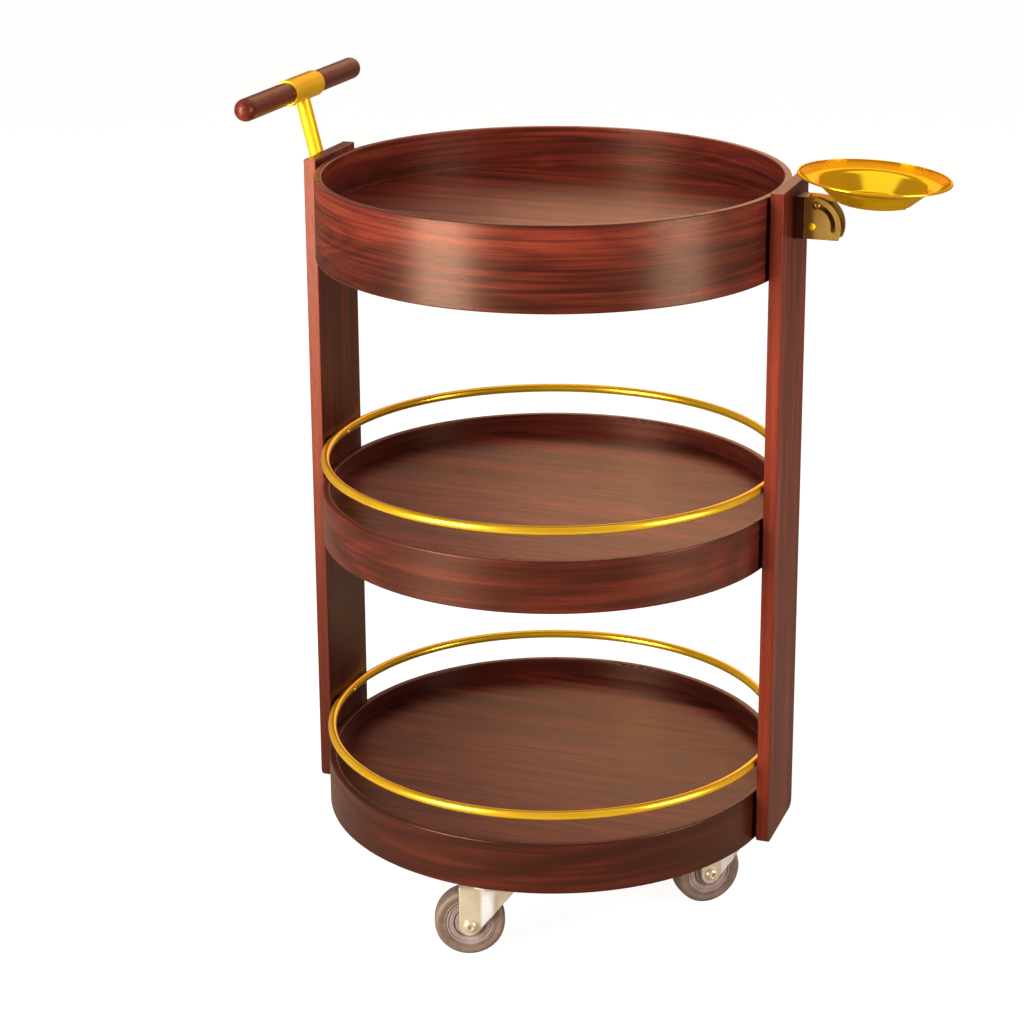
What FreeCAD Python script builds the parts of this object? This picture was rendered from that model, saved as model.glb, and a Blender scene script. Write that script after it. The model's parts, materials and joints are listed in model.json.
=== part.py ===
import FreeCAD, Part
import Sketcher
import os
import re

Vector = FreeCAD.Vector
Rotation = FreeCAD.Rotation

# Round bar cart: three wooden trays between two posts, brass guard rings,
# a handle on the left post, a drop-down dish on the right post and four swivel casters.
# Every size is in millimetres and every angle in degrees.

DRIVING = (
    ("tray_radius", "250", "outer radius of the three hoops"),
    ("hoop_wall", "8", "thickness of the bent hoops"),
    ("deep_well", "46", "top rim down to the top floor"),
    ("deep_skirt", "33", "top floor's underside down to the top hoop's lower edge"),
    ("shallow_well", "20", "lower rims down to their floors"),
    ("shallow_skirt", "27", "lower floors' undersides down to their hoops' lower edges"),
    ("floor_thickness", "9", "thickness of the floor boards"),
    ("floor_groove_depth", "3", "depth of the hoops' grooves for the floors"),
    ("floor_tongue", "5", "thickness of the tongue round a floor's lower edge"),
    ("rim_rounding", "1.5", "rounding of the hoops' edges"),
    ("tray_opening", "254.5", "clear height between one hoop and the next rim"),
    ("pad_recess", "3", "caster plate top above the bottom hoop's lower edge"),
    ("post_thickness", "14", "thickness of the posts"),
    ("post_width", "104", "width of the posts"),
    ("post_let_in", "1.5", "depth of the housings for the hoops"),
    ("post_rise", "5", "post top above the top rim"),
    ("post_drop", "2", "post end below the bottom hoop"),
    ("post_corner", "10", "rounding of the lower corners of a post"),
    ("post_arris", "1.2", "rounding of the long edges of a post"),
    ("guard_diameter", "9.5", "outer diameter of the guard ring tube"),
    ("guard_wall", "1.2", "wall of the guard ring tube"),
    ("guard_lift", "31.5", "rim up to the middle of the tube"),
    ("guard_let_in", "2.25", "depth of the housings for the guard rings"),
    ("wood_screw_diameter", "4", "shank of the wood screws"),
    ("wood_screw_head", "8", "head diameter of the wood screws"),
    ("wood_screw_head_height", "2.6", "head height of the wood screws"),
    ("wood_screw_cover", "4", "wood left in a post beyond a hoop screw"),
    ("hoop_screw_spread", "22", "hoop screws to the middle of a post"),
    ("brass_screw_diameter", "3.2", "shank of the small brass screws"),
    ("brass_screw_head", "6.5", "head diameter of the small brass screws"),
    ("brass_screw_head_height", "2", "head height of the small brass screws"),
    ("brass_screw_cover", "5", "wood left in a post beyond a brass screw"),
    ("grip_offset", "25.5", "post's outer face out to the middle of the grip"),
    ("grip_rise", "66", "post top up to the middle of the grip"),
    ("grip_diameter", "24", "diameter of the wooden grip"),
    ("grip_length", "290", "length of the wooden grip"),
    ("collar_length", "70", "length of the brass collar"),
    ("collar_wall", "2", "wall of the brass collar"),
    ("collar_rounding", "0.8", "rounding of the collar's ends"),
    ("slit_width", "3", "width of the slit along the top of the collar"),
    ("slit_inset", "8", "end of the collar to the end of its slit"),
    ("collar_screw_inset", "16", "end of the collar to its screw"),
    ("stem_diameter", "16", "diameter of the handle stem"),
    ("stem_bend_drop", "4", "post top down to the bend of the stem"),
    ("stem_tail", "44", "straight part of the stem below the bend"),
    ("foot_width", "38", "width of the stem's foot plate"),
    ("foot_height", "58", "height of the stem's foot plate"),
    ("foot_thickness", "3.5", "thickness of the stem's foot plate"),
    ("foot_drop", "6", "post top down to the foot plate"),
    ("foot_screw_inset", "5.5", "foot plate's sides to its screws"),
    ("foot_screw_end", "8", "foot plate's ends to its screws"),
    ("block_thickness", "12", "thickness of the wooden block behind the dish bracket"),
    ("block_side_margin", "1.5", "how far the block stands out at each side of the bracket"),
    ("block_rounding", "1", "rounding of the block's edges"),
    ("pivot_drop", "40.5", "post top down to the dish pivot"),
    ("sector_radius", "30.5", "radius of the sector plates"),
    ("sector_sheet", "2.5", "thickness of the bracket's brass sheet"),
    ("sector_gap", "16", "clear space between the sector plates"),
    ("sector_skirt", "13", "pivot down to the sector plates' lower edge"),
    ("bracket_screw_end", "6", "bracket's ends to its screws"),
    ("slot_inset", "8", "edge of the sector plates in to the middle of their slots"),
    ("slot_play", "0.4", "gap between the guide pin and the sides of its slots"),
    ("guide_lead", "8", "how far the guide pin stands ahead of the arm's leg, as an angle round the pivot"),
    ("dish_swing", "85", "how far the dish folds down"),
    ("dish_droop", "3.5", "slope of the dish at rest"),
    ("pivot_pin_diameter", "4", "diameter of the pivot pin"),
    ("pin_head_diameter", "8", "diameter of the pins' domed heads"),
    ("pin_head_height", "2.2", "height of the pins' domed heads"),
    ("guide_pin_diameter", "4.2", "diameter of the guide pin"),
    ("arm_side_gap", "0.5", "gap between the arm and each sector plate"),
    ("arm_eye_radius", "4", "radius of the arm round the pivot"),
    ("arm_depth", "12", "depth of the arm's leg"),
    ("arm_back_gap", "0.5", "gap between the arm and the bracket's back"),
    ("strap_thickness", "2.8", "thickness of the strap"),
    ("strap_over_sector", "0.6", "sector plates up to the underside of the dish"),
    ("strap_inset", "4", "edge of the dish's flat bottom in to the end of the strap"),
    ("strap_end_margin", "0.3", "straight bit left at the rounded end of the strap"),
    ("dish_overhang", "1.5", "how far the dish's rim reaches back over the post"),
    ("dish_base_radius", "38", "radius of the dish's flat bottom"),
    ("dish_wall_run", "18", "how far the dish's wall spreads"),
    ("dish_flange", "22.5", "how far the dish's flange spreads"),
    ("dish_wall_rise", "16.6", "height of the dish's wall"),
    ("dish_flange_rise", "10.2", "height of the dish's flange"),
    ("dish_sheet", "1.5", "thickness of the spun dish"),
    ("dish_bead", "1.3", "radius of the bead round the dish's rim"),
    ("rivet_diameter", "4", "diameter of the dish rivets"),
    ("rivet_head", "7.5", "diameter of the rivets' domed heads"),
    ("rivet_head_height", "1.4", "height of the rivets' domed heads"),
    ("rivet_spread", "14", "dish rivets to the middle of the dish"),
    ("caster_inset", "42", "hoop's inner face in to each caster's swivel"),
    ("front_heading", "202", "way the front caster trails, from +X towards +Y"),
    ("right_heading", "221", "way the right caster trails"),
    ("back_heading", "208", "way the back caster trails"),
    ("left_heading", "68", "way the left caster trails"),
    ("wheel_diameter", "75", "diameter of the caster wheels"),
    ("tyre_width", "24", "width of the tyres"),
    ("tyre_rounding", "4.5", "rounding of the tyres' shoulders"),
    ("hub_radius", "25", "outer radius of the hubs"),
    ("hub_rim_inset", "0.7", "tyre side in to the hub's rim face"),
    ("hub_rim_width", "2.2", "width of the ring round the hub's face"),
    ("hub_groove_depth", "2", "depth of the rings' grooves in the hub's face"),
    ("hub_groove_width", "1.2", "width of those grooves"),
    ("hub_face_inset", "1.6", "tyre side in to the hub's flat face"),
    ("hub_face_width", "4.6", "width of the hub's flat face between its grooves"),
    ("boss_radius", "9", "radius of the hub's boss"),
    ("boss_proud", "1", "how far the boss stands out of the tyre's side"),
    ("caster_trail", "23", "swivel axis to the axle"),
    ("fork_sheet", "2.5", "thickness of the fork's steel"),
    ("fork_side_gap", "1.5", "hub boss to the fork's leg"),
    ("crown_gap", "5", "top of the wheel to the fork's crown"),
    ("crown_radius", "24", "radius of the fork's crown"),
    ("crown_lip", "7", "height of the straight front edge of the fork"),
    ("leg_end_radius", "11.5", "radius of the round end of a fork leg"),
    ("axle_diameter", "8", "diameter of the axle bolts"),
    ("hexagon_circumradius", "7.5", "middle to a corner of the bolt heads and nuts"),
    ("hexagon_height", "5", "height of the bolt heads and nuts"),
    ("axle_end", "2", "axle bolt beyond its nut"),
    ("kingpin_diameter", "10", "diameter of the kingpins"),
    ("kingpin_head_radius", "8", "radius of the kingpins' lower heads"),
    ("kingpin_head_height", "3", "height of the kingpins' lower heads"),
    ("race_height", "14.7", "height of the swivel race"),
    ("race_radius", "22", "outer radius of the swivel race"),
    ("race_shoulder", "3", "step of the swivel race, in and up"),
    ("plate_side", "62", "side of the square caster plates"),
    ("plate_thickness", "2.5", "thickness of the caster plates"),
    ("plate_corner", "6", "rounding of the caster plates' corners"),
    ("plate_screw_inset", "8", "caster plate's sides to its screws"),
    ("pad_margin", "2", "caster pad beyond the sides of its plate"),
    ("pad_rounding", "3", "rounding of the pads' upright edges"),
    ("pad_cover", "8.5", "wood left in a pad above a plate screw"),
    ("glue_gap", "0.05", "gap of a glued or housed joint"),
    ("running_gap", "0.05", "radial gap round a turning pin"),
    ("free_gap", "0.3", "gap between pieces that move past each other"),
    ("screw_play", "0.1", "radial gap round a screw's shank"),
    ("overrun", "5", "how far a cut runs past the piece"),
)

WORKED = (
    ("axle_up", "wheel_diameter / 2"),
    ("crown_under", "wheel_diameter + crown_gap"),
    ("crown_top", "crown_under + fork_sheet"),
    ("race_low", "crown_top + free_gap"),
    ("plate_under", "race_low + race_height"),
    ("plate_top", "plate_under + plate_thickness"),
    ("bottom_low", "plate_top - pad_recess"),
    ("bottom_under", "bottom_low + shallow_skirt"),
    ("bottom_tongue", "bottom_under + floor_tongue"),
    ("bottom_floor", "bottom_under + floor_thickness"),
    ("bottom_rim", "bottom_floor + shallow_well"),
    ("middle_low", "bottom_rim + tray_opening"),
    ("middle_under", "middle_low + shallow_skirt"),
    ("middle_tongue", "middle_under + floor_tongue"),
    ("middle_floor", "middle_under + floor_thickness"),
    ("middle_rim", "middle_floor + shallow_well"),
    ("top_low", "middle_rim + tray_opening"),
    ("top_under", "top_low + deep_skirt"),
    ("top_tongue", "top_under + floor_tongue"),
    ("top_floor", "top_under + floor_thickness"),
    ("top_rim", "top_floor + deep_well"),
    ("hoop_bore", "tray_radius - hoop_wall"),
    ("groove_radius", "hoop_bore + floor_groove_depth"),
    ("floor_radius", "groove_radius - free_gap"),
    ("floor_face_radius", "hoop_bore - glue_gap"),
    ("post_inner", "tray_radius - post_let_in"),
    ("post_outer", "post_inner + post_thickness"),
    ("post_cut_in", "post_inner - overrun"),
    ("post_top", "top_rim + post_rise"),
    ("post_low", "bottom_low - post_drop"),
    ("post_half", "post_width / 2"),
    ("housing_radius", "tray_radius + glue_gap"),
    ("guard_half", "guard_diameter / 2"),
    ("guard_radius", "post_inner + guard_let_in - guard_half"),
    ("guard_seat", "guard_half + glue_gap"),
    ("middle_guard", "middle_rim + guard_lift"),
    ("bottom_guard", "bottom_rim + guard_lift"),
    ("wood_screw_hole", "wood_screw_diameter / 2 + screw_play"),
    ("hoop_screw_seat", "sqrt(hoop_bore ^ 2 - (hoop_screw_spread + wood_screw_head / 2) ^ 2)"),
    ("hoop_screw_length", "post_outer - wood_screw_cover - hoop_screw_seat"),
    ("hoop_screw_bite", "post_thickness - wood_screw_cover + screw_play"),
    ("top_screw", "(top_low + top_under) / 2"),
    ("middle_screw", "(middle_low + middle_under) / 2"),
    ("bottom_screw", "(bottom_low + bottom_under) / 2"),
    ("brass_screw_hole", "brass_screw_diameter / 2 + screw_play"),
    ("brass_screw_bite", "post_thickness - brass_screw_cover"),
    ("brass_screw_depth", "brass_screw_bite + screw_play"),
    ("guard_screw_seat", "guard_radius - guard_half"),
    ("guard_screw_length", "post_inner - guard_screw_seat + brass_screw_bite"),
    ("grip_radius", "grip_diameter / 2"),
    ("grip_out", "post_outer + grip_offset"),
    ("grip_up", "post_top + grip_rise"),
    ("grip_dome", "grip_radius - glue_gap"),
    ("collar_radius", "grip_radius + collar_wall"),
    ("collar_bore", "grip_radius + glue_gap"),
    ("collar_screw_spread", "collar_length / 2 - collar_screw_inset"),
    ("slit_near", "grip_out - slit_width / 2"),
    ("slit_far", "grip_out + slit_width / 2"),
    ("slit_half", "collar_length / 2 - slit_inset"),
    ("stem_radius", "stem_diameter / 2"),
    ("stem_out", "post_outer + stem_radius"),
    ("stem_bend", "post_top - stem_bend_drop"),
    ("foot_top", "post_top - foot_drop"),
    ("foot_low", "foot_top - foot_height"),
    ("foot_screw_across", "foot_width / 2 - foot_screw_inset"),
    ("foot_screw_high", "foot_top - foot_screw_end"),
    ("foot_screw_low", "foot_low + foot_screw_end"),
    ("bracket_back", "post_outer + block_thickness"),
    ("bracket_web", "bracket_back + sector_sheet"),
    ("pivot_out", "bracket_web + arm_back_gap + arm_eye_radius"),
    ("pivot_up", "post_top - pivot_drop"),
    ("sector_top", "pivot_up + sector_radius"),
    ("sector_low", "pivot_up - sector_skirt"),
    ("sector_cut_low", "pivot_up - sector_radius - overrun"),
    ("sector_cut_top", "sector_top + overrun"),
    ("sector_end", "pivot_out + sector_radius + overrun"),
    ("sector_half_width", "sector_gap / 2 + sector_sheet"),
    ("block_half_width", "sector_half_width + block_side_margin"),
    ("slot_cut_half", "sector_half_width + overrun"),
    ("guide_pin_radius", "guide_pin_diameter / 2"),
    ("slot_half", "guide_pin_radius + slot_play"),
    ("slot_radius", "sector_radius - slot_inset"),
    ("slot_inner", "slot_radius - slot_half"),
    ("slot_outer", "slot_radius + slot_half"),
    ("slot_from", "dish_droop + guide_lead"),
    ("slot_to", "slot_from + dish_swing"),
    ("slot_from_out", "pivot_out + slot_radius * sin(slot_from)"),
    ("slot_from_up", "pivot_up + slot_radius * cos(slot_from)"),
    ("slot_to_out", "pivot_out + slot_radius * sin(slot_to)"),
    ("slot_to_up", "pivot_up + slot_radius * cos(slot_to)"),
    ("guide_out", "slot_radius * sin(guide_lead)"),
    ("guide_up", "slot_radius * cos(guide_lead)"),
    ("bracket_screw_high", "sector_top - bracket_screw_end"),
    ("bracket_screw_low", "sector_low + bracket_screw_end"),
    ("bracket_screw_head", "brass_screw_head / 2"),
    ("bracket_screw_neck", "bracket_web - brass_screw_head_height"),
    ("bracket_screw_length", "bracket_web - post_outer + brass_screw_bite"),
    ("pivot_pin_radius", "pivot_pin_diameter / 2"),
    ("pivot_bore", "pivot_pin_radius + running_gap"),
    ("arm_width", "sector_gap - 2 * arm_side_gap"),
    ("arm_back", "arm_eye_radius"),
    ("arm_front", "arm_depth - arm_back"),
    ("strap_top", "sector_radius + strap_over_sector"),
    ("strap_lift", "strap_top - strap_thickness"),
    ("dish_break_radius", "dish_base_radius + dish_wall_run"),
    ("dish_radius", "dish_break_radius + dish_flange"),
    ("dish_along", "dish_radius - dish_overhang - (pivot_out - post_outer)"),
    ("strap_reach", "dish_along + dish_base_radius - strap_inset"),
    ("strap_end_round", "arm_width / 2 - strap_end_margin"),
    ("dish_break", "strap_top + dish_wall_rise"),
    ("dish_rim", "dish_break + dish_flange_rise"),
    ("dish_bead_up", "dish_rim - dish_bead"),
    ("dish_flange_over", "dish_bead_up + dish_sheet / 2"),
    ("dish_flange_under", "dish_bead_up - dish_sheet / 2"),
    ("dish_floor", "strap_top + dish_sheet"),
    ("dish_break_floor", "dish_break + dish_sheet"),
    ("dish_base_inner", "dish_base_radius - dish_sheet / 2"),
    ("dish_break_inner", "dish_break_radius - dish_sheet / 2"),
    ("dish_bead_radius", "dish_radius - dish_bead"),
    ("rivet_radius", "rivet_diameter / 2"),
    ("rivet_near", "dish_along - rivet_spread"),
    ("rivet_far", "dish_along + rivet_spread"),
    ("caster_circle", "hoop_bore - caster_inset"),
    ("tyre_half", "tyre_width / 2"),
    ("boss_half", "tyre_half + boss_proud"),
    ("hub_rim_half", "tyre_half - hub_rim_inset"),
    ("hub_face_half", "tyre_half - hub_face_inset"),
    ("hub_groove_half", "hub_face_half - hub_groove_depth"),
    ("hub_rim_inner", "hub_radius - hub_rim_width"),
    ("hub_face_outer", "hub_rim_inner - hub_groove_width"),
    ("hub_ring_radius", "hub_face_outer - hub_face_width"),
    ("hub_ring_inner", "hub_ring_radius - hub_groove_width"),
    ("axle_radius", "axle_diameter / 2"),
    ("hub_bore", "axle_radius + running_gap"),
    ("fork_inner_half", "boss_half + fork_side_gap"),
    ("fork_outer_half", "fork_inner_half + fork_sheet"),
    ("crown_front", "crown_top - crown_lip"),
    ("leg_back", "caster_trail + leg_end_radius"),
    ("leg_cut_back", "leg_back + overrun"),
    ("leg_cut_front", "crown_radius + overrun"),
    ("leg_cut_low", "axle_up - leg_end_radius - overrun"),
    ("leg_span", "caster_trail + crown_radius"),
    ("leg_fall", "crown_front - axle_up"),
    ("leg_diagonal", "sqrt(leg_span ^ 2 + leg_fall ^ 2)"),
    ("leg_tangent_turn", "acos(leg_end_radius / leg_diagonal) - atan(leg_fall / leg_span)"),
    ("leg_tangent_out", "caster_trail - leg_end_radius * cos(leg_tangent_turn)"),
    ("leg_tangent_up", "axle_up - leg_end_radius * sin(leg_tangent_turn)"),
    ("kingpin_radius", "kingpin_diameter / 2"),
    ("kingpin_bore", "kingpin_radius + running_gap"),
    ("kingpin_head_top", "crown_under - free_gap"),
    ("kingpin_head_low", "kingpin_head_top - kingpin_head_height"),
    ("race_step", "race_low + race_shoulder"),
    ("race_neck", "race_radius - race_shoulder"),
    ("plate_half", "plate_side / 2"),
    ("plate_screw_spread", "plate_half - plate_screw_inset"),
    ("plate_screw_length", "bottom_under - pad_cover - plate_under"),
    ("handle_edge", "grip_out + collar_radius"),
    ("dish_bead_reach", "dish_along + dish_bead_radius"),
    ("dish_swung_reach", "dish_bead_reach * cos(dish_droop) + dish_bead_up * sin(dish_droop)"),
    ("dish_edge", "pivot_out + dish_swung_reach + dish_bead"),
    ("axis_x", "(handle_edge - dish_edge) / 2"),
)

# The slot across a screw's head, as shares of the shank's diameter and of the head's height.
slot_width_share = 0.25
slot_depth_share = 0.5

TINY = 1e-4
TRAYS = ("top", "middle", "bottom")
GUARDED = ("middle", "bottom")
CASTERS = (("front", 0, -1), ("right", 1, 0), ("back", 0, 1), ("left", -1, 0))

doc = FreeCAD.newDocument("bar_cart")
sheet = doc.addObject("Spreadsheet::Sheet", "Sizes")
names = set()
pieces = []


def fill_sheet():
    """Driving sizes first, then the sizes worked out from them."""
    row = 0
    for name, text, meaning in DRIVING:
        row += 1
        sheet.set(f"A{row}", name)
        sheet.set(f"B{row}", text)
        sheet.set(f"C{row}", meaning)
        sheet.setAlias(f"B{row}", name)
        names.add(name)
    for name, formula in WORKED:
        row += 1
        sheet.set(f"A{row}", name)
        sheet.set(f"B{row}", "=" + formula)
        sheet.setAlias(f"B{row}", name)
        names.add(name)
    doc.recompute()


def size(name):
    """The value of one named size; a leading minus turns its sign, and 0 stands for itself."""
    if name == "0":
        return 0.0
    if name.startswith("-"):
        return -float(sheet.get(name[1:]))
    return float(sheet.get(name))


def bind(thing, place, formula):
    """Binds a property to a formula in which every known name is a cell of the sheet."""
    words = re.sub(r"[a-z][a-z0-9_]*", lambda w: "Sizes." * (w.group() in names) + w.group(), formula)
    thing.setExpression(place, words)


def keep(thing, label):
    """Names a finished sub-part and puts it on the list that is written at the end."""
    thing.Label = label
    pieces.append(thing)
    return thing


# Where the sub-parts stand

def on_tray_axis(thing):
    bind(thing, "Placement.Base.x", "axis_x")


def on_pivot(thing):
    """The frame of the dish: its origin on the pivot, sloping down with the dish."""
    thing.Placement = FreeCAD.Placement(Vector(), Rotation(Vector(0, 1, 0), size("dish_droop")))
    bind(thing, "Placement.Rotation.Angle", "dish_droop")
    bind(thing, "Placement.Base.x", "axis_x + pivot_out")
    bind(thing, "Placement.Base.z", "pivot_up")


def on_spot(spot):
    """The frame of a caster's fixed pieces: straight below its swivel axis, on the ground."""
    name, across, along = spot

    def place(thing):
        bind(thing, "Placement.Base.x", f"axis_x + caster_circle * {across}")
        bind(thing, "Placement.Base.y", f"caster_circle * {along}")

    return place


def on_swivel(spot):
    """The frame of a caster's moving pieces: the same spot, with +X the way the caster trails."""
    def place(thing):
        thing.Placement = FreeCAD.Placement(Vector(), Rotation(Vector(0, 0, 1), size(f"{spot[0]}_heading")))
        bind(thing, "Placement.Rotation.Angle", f"{spot[0]}_heading")
        on_spot(spot)(thing)

    return place


# Sketches and features

def new_body(label, stand):
    body = doc.addObject("PartDesign::Body", label)
    keep(body, label)
    stand(body)
    return body


def new_sketch(body, role, across="0", up="0", out="0"):
    """A sketch on one of the body's own origin planes, moved by named sizes in the plane and out of it."""
    sketch = body.newObject("Sketcher::SketchObject", "Sketch")
    plane = [one for one in body.Origin.OriginFeatures if one.Role == role][0]
    sketch.AttachmentSupport = [(plane, "")]
    sketch.MapMode = "FlatFace"
    for axis, name in (("x", across), ("y", up), ("z", out)):
        if name != "0":
            bind(sketch, f"AttachmentOffset.Base.{axis}", name)
    return sketch


def tie(sketch, geometry, point, across, up):
    """Holds a point of the sketch at two named sizes."""
    for kind, axis, name in (("DistanceX", -2, across), ("DistanceY", -1, up)):
        if name == "0":
            sketch.addConstraint(Sketcher.Constraint("PointOnObject", geometry, point, axis))
            continue
        index = sketch.addConstraint(Sketcher.Constraint(kind, -1, 1, geometry, point, size(name)))
        sketch.renameConstraint(index, f"{kind}{geometry}")
        bind(sketch, f"Constraints.{kind}{geometry}", name)


def outline(sketch, *corners):
    """A closed outline of straight lines through corners that are each two named sizes."""
    first = sketch.GeometryCount
    places = [Vector(size(across), size(up), 0) for across, up in corners]
    for here, there in zip(places, places[1:] + places[:1]):
        sketch.addGeometry(Part.LineSegment(here, there), False)
    for index, (across, up) in enumerate(corners):
        after = (index + 1) % len(corners)
        sketch.addConstraint(Sketcher.Constraint("Coincident", first + index, 2, first + after, 1))
        tie(sketch, first + index, 1, across, up)


def rectangle(sketch, left, right, low, high):
    outline(sketch, (left, low), (right, low), (right, high), (left, high))


def disc(sketch, across, up, radius):
    index = sketch.GeometryCount
    centre = Vector(size(across), size(up), 0)
    sketch.addGeometry(Part.Circle(centre, Vector(0, 0, 1), size(radius)), False)
    named = sketch.addConstraint(Sketcher.Constraint("Radius", index, size(radius)))
    sketch.renameConstraint(named, f"Radius{index}")
    bind(sketch, f"Constraints.Radius{index}", radius)
    tie(sketch, index, 3, across, up)


def feature(body, kind, sketch, **settings):
    made = body.newObject(f"PartDesign::{kind}", kind)
    made.Profile = sketch
    for name, value in settings.items():
        setattr(made, name, value)
    sketch.Visibility = False
    return made


def pad(body, sketch, length, **settings):
    made = feature(body, "Pad", sketch, **settings)
    bind(made, "Length", length)
    return made


def pocket(body, sketch, length, **settings):
    made = feature(body, "Pocket", sketch, **settings)
    bind(made, "Length", length)
    return made


def turn(body, sketch, axis="V_Axis", kind="Revolution"):
    return feature(body, kind, sketch, ReferenceAxis=(sketch, [axis]), Angle=360)


def round_edges(body, base, radius, test):
    """Rounds the edges of the last feature that pass a test."""
    doc.recompute()
    chosen = [f"Edge{i}" for i, edge in enumerate(base.Shape.Edges, 1) if test(edge)]
    made = body.newObject("PartDesign::Fillet", "Fillet")
    made.Base = (base, chosen)
    bind(made, "Radius", radius)
    return made


def every_point(edge, test):
    """True if both ends and the middle of an edge pass the test."""
    middle = edge.valueAt((edge.FirstParameter + edge.LastParameter) / 2)
    return all(test(point) for point in [vertex.Point for vertex in edge.Vertexes] + [middle])


def near(one, other):
    return abs(one - other) < TINY


# Trays

def tray_hoop(tray):
    """A bent hoop with a groove for its floor's tongue and holes for the screws into the posts."""
    low, rim, tongue, under = f"{tray}_low", f"{tray}_rim", f"{tray}_tongue", f"{tray}_under"
    body = new_body(f"{tray}_hoop", on_tray_axis)
    wall = new_sketch(body, "XZ_Plane")
    outline(
        wall, ("hoop_bore", low), ("tray_radius", low), ("tray_radius", rim), ("hoop_bore", rim),
        ("hoop_bore", tongue), ("groove_radius", tongue), ("groove_radius", under), ("hoop_bore", under),
    )
    hoop = turn(body, wall)
    outside = size("tray_radius")

    def on_edge(p):
        return near(p.z, size(rim)) or (near(p.z, size(low)) and near(abs(complex(p.x, p.y)), outside))

    round_edges(body, hoop, "rim_rounding", lambda edge: every_point(edge, on_edge))
    holes = new_sketch(body, "YZ_Plane")
    for side in ("hoop_screw_spread", "-hoop_screw_spread"):
        disc(holes, side, f"{tray}_screw", "wood_screw_hole")
    pocket(body, holes, "2 * (tray_radius + overrun)", SideType="Symmetric")


def tray_floor(tray):
    """A round board with a tongue round its lower edge."""
    floor, tongue, under = f"{tray}_floor", f"{tray}_tongue", f"{tray}_under"
    body = new_body(f"{tray}_floor", on_tray_axis)
    section = new_sketch(body, "XZ_Plane")
    outline(
        section, ("0", under), ("floor_radius", under), ("floor_radius", tongue),
        ("floor_face_radius", tongue), ("floor_face_radius", floor), ("0", floor),
    )
    turn(body, section)


# Posts

def post(label, side):
    """An upright board, housed over the hoops and guard rings. side is 1 for +X and -1 for -X."""
    right = side > 0
    body = new_body(label, on_tray_axis)
    face = new_sketch(body, "YZ_Plane", out="post_inner" if right else "-post_outer")
    rectangle(face, "-post_half", "post_half", "post_low", "post_top")
    board = pad(body, face, "post_thickness")
    corners = round_edges(body, board, "post_corner", lambda edge: every_point(
        edge, lambda p: near(p.z, size("post_low")) and near(abs(p.y), size("post_half"))))
    round_edges(body, corners, "post_arris", lambda edge: (
        every_point(edge, lambda p: near(abs(p.x), size("post_inner")))
        or every_point(edge, lambda p: near(abs(p.x), size("post_outer")))))
    housings = new_sketch(body, "XZ_Plane")
    for tray in TRAYS:
        rectangle(housings, "post_cut_in", "housing_radius", f"{tray}_low", f"{tray}_rim")
    for tray in GUARDED:
        disc(housings, "guard_radius", f"{tray}_guard", "guard_seat")
    turn(body, housings, kind="Groove")
    inner_holes = new_sketch(body, "YZ_Plane", out="post_inner" if right else "-post_inner")
    for tray in TRAYS:
        for spread in ("hoop_screw_spread", "-hoop_screw_spread"):
            disc(inner_holes, spread, f"{tray}_screw", "wood_screw_hole")
    pocket(body, inner_holes, "hoop_screw_bite", Reversed=right)
    guard_holes = new_sketch(body, "YZ_Plane", out="post_inner" if right else "-post_inner")
    for tray in GUARDED:
        disc(guard_holes, "0", f"{tray}_guard", "brass_screw_hole")
    pocket(body, guard_holes, "brass_screw_depth", Reversed=right)
    outer_holes = new_sketch(body, "YZ_Plane", out="post_outer" if right else "-post_outer")
    fitting = "bracket" if right else "foot"
    for across in ("0",) if right else ("foot_screw_across", "-foot_screw_across"):
        for up in (f"{fitting}_screw_high", f"{fitting}_screw_low"):
            disc(outer_holes, across, up, "brass_screw_hole")
    pocket(body, outer_holes, "brass_screw_depth", Reversed=not right)


# Brass guard rings

def guard_ring(tray):
    """A tube bent to a ring, with a screw hole through it at each post."""
    outside = doc.addObject("Part::Torus", "GuardOutside")
    bind(outside, "Radius1", "guard_radius")
    bind(outside, "Radius2", "guard_half")
    inside = doc.addObject("Part::Torus", "GuardInside")
    bind(inside, "Radius1", "guard_radius")
    bind(inside, "Radius2", "guard_half - guard_wall")
    hole = doc.addObject("Part::Cylinder", "GuardHole")
    hole.Placement = FreeCAD.Placement(Vector(), Rotation(Vector(0, 1, 0), 90))
    bind(hole, "Radius", "brass_screw_hole")
    bind(hole, "Height", "2 * (tray_radius + overrun)")
    bind(hole, "Placement.Base.x", "-(tray_radius + overrun)")
    hollow = doc.addObject("Part::MultiFuse", "GuardHollow")
    hollow.Shapes = [inside, hole]
    tube = doc.addObject("Part::Cut", "GuardTube")
    tube.Base = outside
    tube.Tool = hollow
    on_tray_axis(tube)
    bind(tube, "Placement.Base.z", f"{tray}_guard")
    keep(tube, f"{tray}_guard_ring")


# Screws and pins, made round +Z with the head above zero and the shank below

def dome(radius, height):
    """A round head: the cap of the ball that has this radius at its foot and this height."""
    ball = (radius ** 2 + height ** 2) / (2 * height)
    whole = Part.makeSphere(ball, Vector(0, 0, height - ball))
    return whole.common(Part.makeCylinder(2 * radius, height))


def screw(diameter, length, head, height):
    """A round-head screw with a pointed end and a slot across its head."""
    shank_radius = diameter / 2
    shank = Part.makeCylinder(shank_radius, length - diameter, Vector(0, 0, diameter - length))
    point = Part.makeCone(0, shank_radius, diameter, Vector(0, 0, -length))
    slot = driver_slot(diameter, head, height, height * (1 - slot_depth_share))
    return shank.fuse([point, dome(head / 2, height)]).cut(slot)


def driver_slot(diameter, head, height, floor):
    """The groove for a screwdriver, whose floor is at a given height."""
    across = diameter * slot_width_share
    return Part.makeBox(head, across, height, Vector(-head / 2, -across / 2, floor))


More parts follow.
